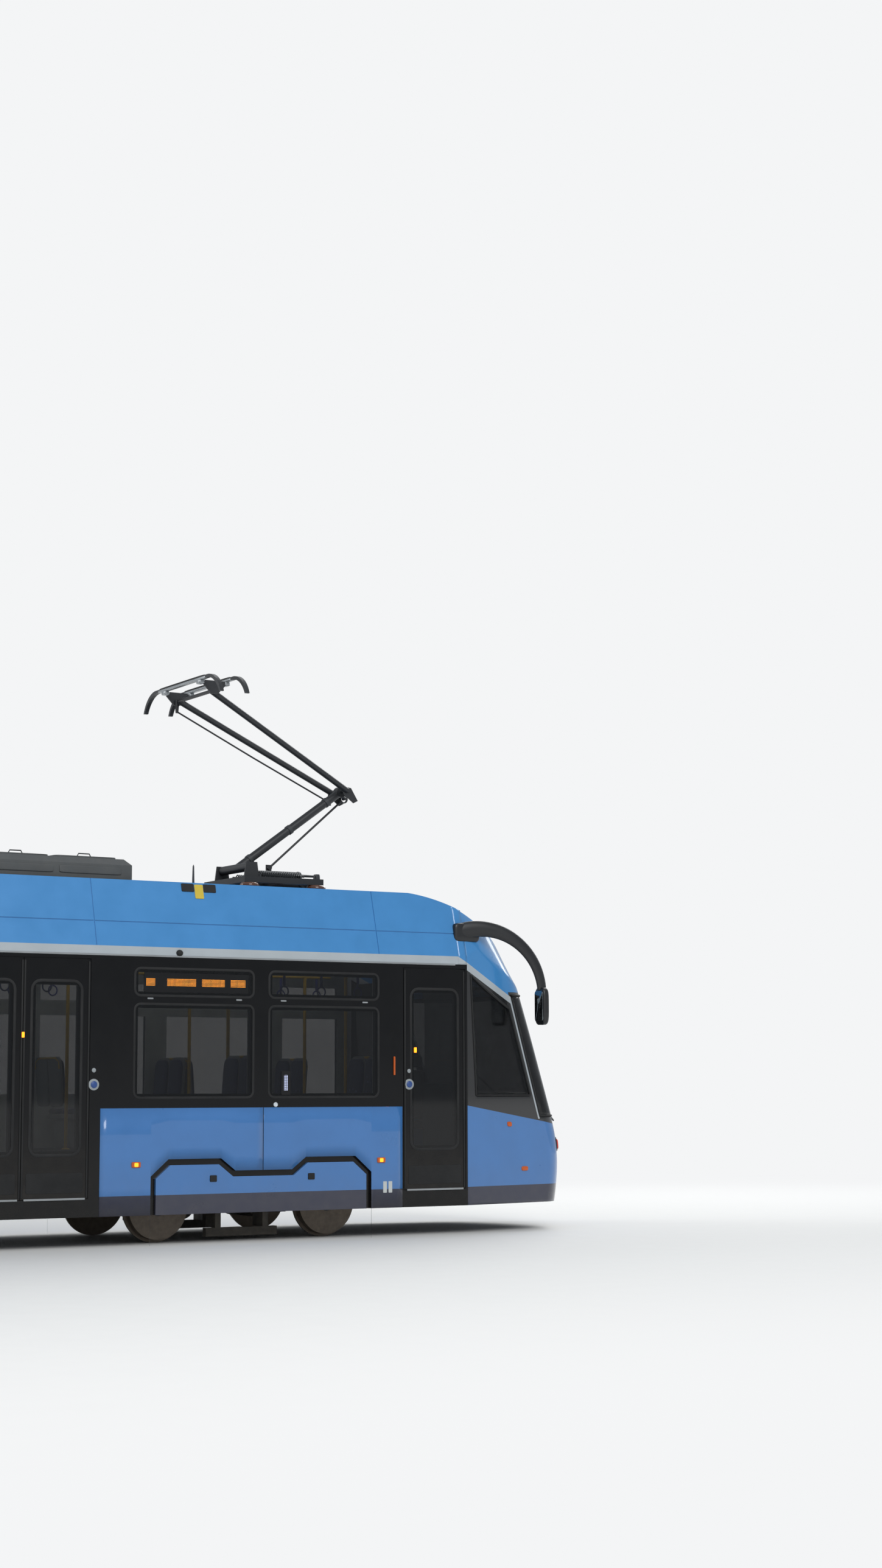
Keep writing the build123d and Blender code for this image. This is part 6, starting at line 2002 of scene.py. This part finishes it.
@dataclass
class RoofGear(Section):
    """Detail on a section's roof boxes: louvres, lids with handles, fans, ducts, and an end's aerial and signs."""

    # Boxes as first and last station (or X), half width and top.
    boxes: tuple[Quad, ...] = (
        (5.10, 8.00, HALF_WIDTH - 0.32, RAIL + 3.55), (8.35, 10.25, HALF_WIDTH - 0.34, RAIL + 3.42),
        (10.50, 11.90, HALF_WIDTH - 0.44, RAIL + 3.30))
    middle_boxes: tuple[Quad, ...] = (
        (-2.50, -0.20, HALF_WIDTH - 0.30, RAIL + 3.48), (0.20, 2.50, HALF_WIDTH - 0.34, RAIL + 3.42))
    lid_length: float = 0.75
    handle: tuple[Pair, ...] = ((-0.07, 0.015), (-0.055, 0.045), (0.055, 0.045), (0.07, 0.015))
    louvre_length: float = 0.9
    louvre_step: float = 0.038
    louvre_tilt: float = 0.7
    fan_shares: Pair = (0.3, 0.7)
    fan_ring: tuple[Pair, ...] = ((0.0, 0.36), (0.05, 0.35), (0.055, 0.33), (0.03, 0.32), (0.0, 0.36))
    fan_hub: tuple[Pair, ...] = ((0.0, 0.0), (0.0, 0.32), (0.012, 0.32), (0.012, 0.10), (0.04, 0.09), (0.045, 0.0))
    fan_guard: Quad = (0.14, 0.20, 0.26, 0.31)
    duct_stations: Pair = (4.9, 12.2)
    duct_ys: Pair = (-0.30, -0.12)
    duct_radius: float = 0.035
    label_at: Pair = (5.62, RAIL + 3.43)
    label_half: Triple = (0.12, 0.004, 0.03)
    plates_at: tuple[Pair, ...] = ((4.60, RAIL + 3.29), (4.37, RAIL + 3.29))
    plate_half: Triple = (0.065, 0.005, 0.04)
    sign_at: tuple[Pair, ...] = ((4.485, RAIL + 3.255),)
    sign_half: Triple = (0.045, 0.005, 0.07)
    aerial_at: Pair = (4.47, -0.90)
    aerial: tuple[Pair, ...] = ((0, 0), (0, 0.06), (0.36, 0.05), (0.38, 0.018), (0.50, 0.012), (0.67, 0.008),
                                (0.69, 0.0))

    def build(self) -> None:
        """Make the detail of every box and what stands between them."""
        grey, dark = Meshes(), Meshes()
        for index, (first, last, half, top) in enumerate(self.boxes if self.end else self.middle_boxes):
            x0, x1 = self.xs(first, last)
            self.lids(grey, dark, x0, x1, half, top)
            self.louvres(dark, x0, x1, half, top)
            for share in self.fan_shares if index == 0 else ():
                self.fan(grey, dark, x0 + (x1 - x0) * share, top)
        self.ducts(grey)
        make_all(self, ("roof_lids", grey, ROOF_GREY), ("roof_grilles", dark, DARK_GREY))
        if self.end:
            self.signs()

    def lids(self, grey: Meshes, dark: Meshes, x0: float, x1: float, half: float, top: float) -> None:
        """Shallow lids with rounded corners along a box's top, each with two handles, and straps over the edges.

        Args:
            grey: takes the lids and straps.
            dark: takes the handles.
            x0: X of one end of the box.
            x1: X of its other end.
            half: half width of the box.
            top: height of the box's top.
        """
        edges = span(x0 + 0.08, x1 - 0.08, max(2, round((x1 - x0) / self.lid_length)) + 1)
        for a, b in zip(edges, edges[1:]):
            middle = (a + b) / 2
            grey.pillow((middle, 0.0, top + 0.004), ((b - a) / 2 - 0.015, half - 0.09, 0.016), 0.15, around=24)
            for sign in (-1, 1):
                dark.tube([(middle + dx, sign * (half - 0.16), top + dz) for dx, dz in self.handle], 0.006, 8)
                grey.pillow((middle, sign * (half + 0.002), top - 0.12), ((b - a) / 2 - 0.03, 0.008, 0.035), 0.2,
                            around=24)

    def louvres(self, dark: Meshes, x0: float, x1: float, half: float, top: float) -> None:
        """Banks of slats in a box's sides: flat ellipses tilted outward, in columns of equal width.

        Args:
            dark: takes the slats.
            x0: X of one end of the box.
            x1: X of its other end.
            half: half width of the box.
            top: height of the box's top.
        """
        edges = span(x0 + 0.15, x1 - 0.15, max(2, round((x1 - x0) / self.louvre_length)) + 1)
        for sign in (-1, 1):
            turn = rolled(-sign * self.louvre_tilt)
            for a, b in zip(edges, edges[1:]):
                for z in np.arange(ROOF_DECK + 0.10, top - 0.20, self.louvre_step):
                    dark.pillow(((a + b) / 2, sign * (half + 0.001), z), ((b - a) / 2 - 0.07, 0.014, 0.004), 0.3, turn,
                                around=8)

    def fan(self, grey: Meshes, dark: Meshes, x: float, top: float) -> None:
        """Condenser fan: a raised ring, its hub, and a guard of rings.

        Args:
            grey: takes the ring and guard.
            dark: takes the hub.
            x: X of the fan's middle.
            top: height of the box's top.
        """
        grey.lathe((x, 0.0, top), 2, self.fan_ring, 40)
        dark.lathe((x, 0.0, top), 2, self.fan_hub, 40)
        t = span(0, 2 * math.pi, 37)
        for radius in self.fan_guard:
            grey.tube(np.column_stack((x + radius * np.cos(t), radius * np.sin(t), top + 0.042 + 0 * t)), 0.004, 6)

    def ducts(self, grey: Meshes) -> None:
        """Two cable ducts along the roof deck.

        Args:
            grey: takes the ducts.
        """
        x0, x1 = self.xs(*self.duct_stations) if self.end else (-MIDDLE_END + 0.1, MIDDLE_END - 0.1)
        for y in self.duct_ys:
            grey.tube([(x, y, ROOF_DECK + 0.05) for x in span(x0, x1, 10)], self.duct_radius, 12)

    def signs(self) -> None:
        """Blank label on the leading box, a blank sign and two black plates on each fascia, and the aerial."""
        label, plates, sign, aerial = Meshes(), Meshes(), Meshes(), Meshes()
        half = self.boxes[0][2]
        lean = math.atan2(FASCIA_LEAN, ROOF_TOP - SILVER_TOP)
        for side in Side:
            x, z = self.x(self.label_at[0]), self.label_at[1]
            label.pillow((x, side.value * (half + 0.002), z), self.label_half, 0.15, around=24)
            for meshes, places, size in ((plates, self.plates_at, self.plate_half),
                                         (sign, self.sign_at, self.sign_half)):
                for station, z in places:
                    meshes.pillow((self.x(station), side.value * (fascia_y(z) + 0.003), z), size, 0.15,
                                  rolled(side.value * lean), around=24)
        station, y = self.aerial_at
        aerial.lathe((self.x(station), y, ROOF_DECK), 2, self.aerial, 16)
        make_all(self, ("roof_label", label, PLATE), ("roof_plates", plates, RUBBER),
                 ("roof_sign", sign, PALE_SIGN), ("aerial", aerial, CAB_PLASTIC))


@dataclass
class PantographTrim:
    """Insulator sheds, lifting springs and cylinder, knee plates, guide rod and collector fittings."""

    key: str = "pantograph"
    body: str = "car_front"
    # Pivots as (station, height).
    mast: Pair = (3.55, RAIL + 3.60)
    knee: Pair = (2.36, RAIL + 4.45)
    head: Pair = (4.03, RAIL + 5.32)
    insulators: Pair = (2.87, 3.62)
    leg_y: float = 0.42
    frame_z: float = RAIL + 3.43
    shed_radii: Pair = (0.074, 0.024)
    shed_waves: int = 5
    # Springs: distance from the middle, height over the frame, rear station, length, radius and number of coils.
    spring_y: float = 0.24
    spring_rise: float = 0.10
    spring_station: float = 3.42
    spring_length: float = 0.46
    coil_radius: float = 0.030
    coils: int = 22
    cylinder_at: Triple = (3.40, -0.05, 0.125)
    cylinder: tuple[Pair, ...] = ((0, 0), (0, 0.038), (0.02, 0.042), (0.04, 0.036), (0.50, 0.036), (0.52, 0.042),
                                  (0.545, 0.038), (0.545, 0.014), (0.70, 0.012), (0.70, 0.0))
    post_at: Pair = (2.66, -0.05)
    # Knee plate: reach along the upper arm, then its corners from the knee, half thickness and y.
    plate_reach: float = 0.11
    plate_corners: tuple[Pair, ...] = ((0.045, 0.03), (0.125, -0.10), (0.075, -0.125), (-0.03, -0.045))
    plate_half: float = 0.006
    plate_ys: Pair = (-0.150, 0.150)
    bands: Triple = (0.12, 0.5, 0.86)
    band_half: float = 0.022
    band_radii: Quad = (0.044, 0.049, 0.049, 0.044)
    strip_top: float = RAIL + 5.445
    strips: Pair = (-0.14, 0.14)
    horn_y: float = 0.40

    def build(self) -> None:
        """Make the pieces on the base, the arms and the head."""
        self.on_base()
        self.on_upper_arm()
        self.on_lower_arm()
        self.on_head()

    def place(self, station: float, z: float, y: float = 0.0) -> np.ndarray:
        """Point at a station."""
        return np.array([HALF_LENGTH - station, y, z])

    def on_base(self) -> None:
        """Ribbed porcelain sheds round the four insulators, two coil springs, the cylinder, its post and its pipe.

        A shed's radius is the least plus the wave's height times |sin|^0.6 of its place between foot and top.
        """
        sheds, springs, metal, rubber = Meshes(), Meshes(), Meshes(), Meshes()
        top, foot = self.frame_z - 0.002, (ROOF_DECK + self.frame_z) / 2
        least, more = self.shed_radii
        z = span(foot, top, 61)
        wave = least + more * np.abs(np.sin(math.pi * self.shed_waves * (z - foot) / (top - foot))) ** 0.6
        for station in self.insulators:
            for side in Side:
                sheds.lathe((HALF_LENGTH - station, side.value * self.leg_y, 0.0), 2,
                            [(foot, 0.0), *zip(z, wave), (top, 0.0)], 24)
        for side in Side:
            self.spring(springs, metal, side)
        station, y, rise = self.cylinder_at
        metal.lathe(self.place(station, self.frame_z + rise, y), 0, self.cylinder, 20)
        station, y = self.post_at
        post = (ROOF_DECK + self.frame_z + 0.15) / 2
        metal.pillow(self.place(station, post, y), (0.025, 0.035, post - ROOF_DECK), 0.2, around=16)
        metal.pillow(self.place(station, ROOF_DECK + 0.01, y), (0.07, 0.07, 0.012), 0.3, around=16)
        rubber.tube([self.place(2.9, self.frame_z + 0.02, -0.14), self.place(2.8, self.frame_z - 0.05, -0.2),
                     self.place(2.74, self.frame_z - 0.25, -0.24), self.place(2.72, ROOF_DECK + 0.3, -0.25)], 0.012, 8)
        make_all(self, ("insulator_sheds", sheds, CERAMIC), ("lifting_springs", springs, SPRING_STEEL),
                 ("cylinder", metal, DARK_GREY), ("air_pipe", rubber, RUBBER))

    def spring(self, springs: Meshes, metal: Meshes, side: Side) -> None:
        """Coil spring, a helix along X, with a rod end and a lug at both ends.

        Args:
            springs: takes the coil.
            metal: takes the rod end and lugs.
            side: the side that it is on.
        """
        y, z = side.value * self.spring_y, self.frame_z + self.spring_rise
        t = span(0, 2 * math.pi * self.coils, self.coils * 12)
        x = HALF_LENGTH - self.spring_station + self.spring_length * t / t[-1]
        springs.tube(np.column_stack((x, y + self.coil_radius * np.cos(t), z + self.coil_radius * np.sin(t))), 0.006, 6)
        for end_x in (x[0], x[-1]):
            metal.tube([(end_x - 0.05, y, z), (end_x + 0.05, y, z)], 0.012, 8)
            metal.pillow((end_x, y, z - 0.04), (0.012, 0.03, 0.05), 0.3, around=12)

    def on_upper_arm(self) -> None:
        """Knee plates, and the guide rod with its two lugs."""
        metal = Meshes()
        knee, head = self.place(*self.knee), self.place(*self.head)
        along = (head - knee) / np.linalg.norm(head - knee)
        plate = np.array([knee + along * self.plate_reach,
                          *(knee + np.array([x, 0, z]) for x, z in self.plate_corners)])
        middle = np.broadcast_to(plate.mean(axis=0), plate.shape)
        for y in self.plate_ys:
            low, high = (np.array([0, y + sign * self.plate_half, 0]) for sign in (-1, 1))
            metal.grid(np.stack((middle + low, plate + low, plate + high, middle + high)), wrap=True)
        metal.tube([knee + np.array([-0.02, 0.20, -0.085]), (knee + head) / 2 + np.array([-0.02, 0.30, -0.10]),
                    head + np.array([0.0, 0.40, -0.11])], 0.009, 10)
        for point, y in ((knee, 0.20), (head, 0.40)):
            metal.tube([point + np.array([dx, y, dz]) for dx, dz in ((0, 0.01), (-0.01, -0.05), (-0.01, -0.12))],
                       [0.03, 0.022, 0.016], 12, flat=0.4)
        metal.object("pantograph_arm_fittings", ARM_PAINT, "pantograph_upper_arm")

    def on_lower_arm(self) -> None:
        """Three clamp bands round the lower arm."""
        bands = Meshes()
        mast, knee = self.place(*self.mast), self.place(*self.knee)
        step = (knee - mast) / np.linalg.norm(knee - mast) * self.band_half
        for share in self.bands:
            point = mast + (knee - mast) * share
            bands.tube([point - step, point - step * 0.9, point + step * 0.9, point + step], self.band_radii, 20)
        bands.object("pantograph_arm_bands", DARK_GREY, "pantograph_lower_arm")

    def on_head(self) -> None:
        """Worn carbon inserts, their aluminium carriers and spring boxes on the collector head."""
        carbon, carrier = Meshes(), Meshes()
        for offset in self.strips:
            x = HALF_LENGTH - self.head[0] + offset
            carbon.pillow((x, 0, self.strip_top + 0.001), (0.021, 0.52, 0.008), 0.25, around=24)
            carrier.pillow((x, 0, self.strip_top - 0.021), (0.024, 0.56, 0.012), 0.25, around=24)
            for side in Side:
                place = (x, side.value * self.horn_y, self.strip_top - 0.05)
                carrier.pillow(place, (0.030, 0.045, 0.022), 0.4, around=24)
        carbon.object("pantograph_carbon_inserts", CARBON, "pantograph_head")
        carrier.object("pantograph_strip_carriers", ALUMINIUM, "pantograph_head")


@dataclass
class WheelTrim:
    """Hub caps with bolts on both wheels of every wheelset."""

    cap: tuple[Pair, ...] = ((-0.02, 0.0), (-0.02, 0.085), (0.004, 0.080), (0.006, 0.05), (0.006, 0.0))
    bolt: tuple[Pair, ...] = ((0, 0), (0, 0.009), (0.007, 0.009), (0.008, 0.0))
    bolts: int = 8
    bolt_circle: float = 0.062

    def build(self) -> None:
        """Make one piece for each wheelset, in place on its own axle."""
        for index in (1, 2, 3, 4):
            for which in ("leading", "trailing"):
                node = f"wheelset_{index}_{which}"
                low, high = (np.array(corner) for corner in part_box(node))
                x, _, z = (low + high) / 2
                meshes = Meshes()
                for side in Side:
                    y = high[1] if side is Side.LEFT else low[1]
                    self.turned(meshes, (x, y, z), self.cap, side, 32)
                    for angle in turns(self.bolts):
                        place = (x + self.bolt_circle * math.cos(angle), y + side.value * 0.004,
                                 z + self.bolt_circle * math.sin(angle))
                        self.turned(meshes, place, self.bolt, side, 6)
                meshes.object(f"{node}_hub_caps", DARK_GREY, node)

    def turned(self, meshes: Meshes, place: Triple, profile: tuple[Pair, ...], side: Side, sides: int) -> None:
        """Turn a profile round Y, outward on a side."""
        meshes.lathe(place, 1, [(side.value * depth, radius) for depth, radius in profile], sides)


class Nodes:
    """Dresses the CAD nodes that stay as they are."""

    finishes: dict[str, Finish] = {
        "side": WALL_ENAMEL, "roof": ROOF_ENAMEL, "doors": BLACK_ENAMEL, "bogie_covers": BLUE_ENAMEL,
        "glazing": SIDE_GLASS, "lamps": WHITE_LAMP, "underframe": FLOOR, "seats": CLOTH, "handrails": YELLOW,
        "cab_interior": CAB_PLASTIC, "roof_equipment": ROOF_GREY, "mirrors": MIRROR_SHELL,
        "tow_clevis": CHASSIS, "bellows": BELLOWS_CLOTH, "bogie": CHASSIS, "wheelset": WHEEL_STEEL,
        "pantograph": ARM_PAINT, "nose": NOSE_ENAMEL,
    }

    def finish_of(self, name: str) -> Finish:
        """The finish whose key is the longest one found in a node's name."""
        return self.finishes[max((key for key in self.finishes if key in name), key=len)]

    def build(self) -> None:
        """Give every CAD node its finish."""
        for name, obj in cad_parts.items():
            obj.data.materials.clear()
            obj.data.materials.append(self.finish_of(name).material())
            LOG.info("node %s dressed", name)


@dataclass
class Studio:
    """Floor, light and the camera at the photograph's angle."""

    camera_at: Triple = (1.331, -21.852, 1.39)
    heading: Pair = (0.5268, 0.85)
    pitch: float = math.radians(7.214)
    roll: float = math.radians(-0.173)
    focal_px: float = 4000.0
    image_height: int = 2576
    clip_end: float = 500.0
    # Area lamps: name, place, aim, size in metres and power in watts.
    lamps: tuple[tuple[str, Triple, Triple, float, float], ...] = (
        ("key", (6.0, -26.0, 20.0), (4.0, 0.0, 1.0), 16.0, 5200.0),
        ("fill", (26.0, 8.0, 14.0), (2.0, 0.0, 1.0), 14.0, 2600.0),
        ("back", (-16.0, 22.0, 18.0), (-2.0, 0.0, 1.0), 16.0, 3200.0))
    floor_half: float = 300.0
    sky: str = "dfe4ea"
    sky_strength: float = 0.55

    def build(self) -> None:
        """Make the stage, the lamps and the camera."""
        scene = bpy.context.scene
        scene.view_settings.view_transform = "Standard"
        self.floor(scene)
        self.world(scene)
        for lamp in self.lamps:
            self.lamp(scene, *lamp)
        self.camera(scene)

    def lamp(self, scene: bpy.types.Scene, name: str, place: Triple, aim: Triple, size: float, power: float) -> None:
        """Square area lamp that shines from its place toward its aim.

        Args:
            scene: the scene.
            name: the lamp's name.
            place: where it stands.
            aim: the point that it faces.
            size: length of its sides.
            power: its power in watts.
        """
        lamp = bpy.data.lights.new(name, "AREA")
        lamp.size = size
        lamp.energy = power
        holder = bpy.data.objects.new(name, lamp)
        holder.location = place
        holder.rotation_euler = look(np.array(aim) - np.array(place)).to_euler()
        scene.collection.objects.link(holder)

    def camera(self, scene: bpy.types.Scene) -> None:
        """Camera at the fitted place, whose focal length is in pixels of the photograph's height.

        Args:
            scene: the scene.
        """
        lens = bpy.data.cameras.new("camera")
        lens.lens = self.focal_px / self.image_height * lens.sensor_width
        lens.clip_end = self.clip_end
        camera = bpy.data.objects.new("camera", lens)
        camera.location = self.camera_at
        forward = np.array([*self.heading, math.tan(self.pitch) * math.hypot(*self.heading)])
        camera.rotation_mode = "QUATERNION"
        camera.rotation_quaternion = look(forward, self.roll).to_quaternion()
        scene.collection.objects.link(camera)
        scene.camera = camera

    def floor(self, scene: bpy.types.Scene) -> None:
        """Pale ground that the camera sees as white, with the vehicle's shadow on it.

        Args:
            scene: the scene.
        """
        meshes = Meshes()
        half = span(-self.floor_half, self.floor_half, 3)
        x, y = np.meshgrid(half, half, indexing="ij")
        meshes.grid(np.stack((x, y, np.zeros_like(x)), axis=-1))
        mesh = bpy.data.meshes.new("floor")
        mesh.from_pydata(meshes.points[0].tolist(), [], meshes.faces[0].tolist())
        obj = bpy.data.objects.new("floor", mesh)
        scene.collection.objects.link(obj)
        mesh.materials.append(FLOOR_FINISH.material())

    def world(self, scene: bpy.types.Scene) -> None:
        """Even soft light, with a white background to the camera.

        Args:
            scene: the scene.
        """
        world = bpy.data.worlds.new("studio")
        world.use_nodes = True
        graph = Graph(world.node_tree)
        seen = graph.add("ShaderNodeLightPath").outputs["Is Camera Ray"]
        light = graph.add("ShaderNodeBackground", inputs={0: self.sky, 1: self.sky_strength}).outputs[0]
        white = graph.add("ShaderNodeBackground", inputs={0: BACKDROP, 1: 1.0}).outputs[0]
        mixed = graph.add("ShaderNodeMixShader", inputs={0: seen, 1: light, 2: white}).outputs[0]
        graph.add("ShaderNodeOutputWorld", inputs={0: mixed})
        scene.world = world


def look(direction: np.ndarray, roll: float = 0.0) -> Matrix:
    """Rotation matrix of a camera or lamp that looks along a direction, turned about it by roll."""
    return Vector(direction).to_track_quat("-Z", "Y").to_matrix() @ Matrix.Rotation(roll, 3, "Z")


def main() -> None:
    """Build the whole scene."""
    logging.basicConfig(level=logging.INFO, format="%(message)s")
    Studio().build()
    Nodes().build()
    for end in End:
        nose = Nose(end)
        nose.build()
        NoseTrim(nose).build()
        Bellows(end).build()
    Cab(End.FRONT).build()
    for section in (End.FRONT, None, End.REAR):
        for part in (SidePanels, SideTrim, Saloon, RoofGear):
            part(section).build()
    Mirrors(End.FRONT).build()
    PantographTrim().build()
    WheelTrim().build()


if __name__ == "__main__":
    main()
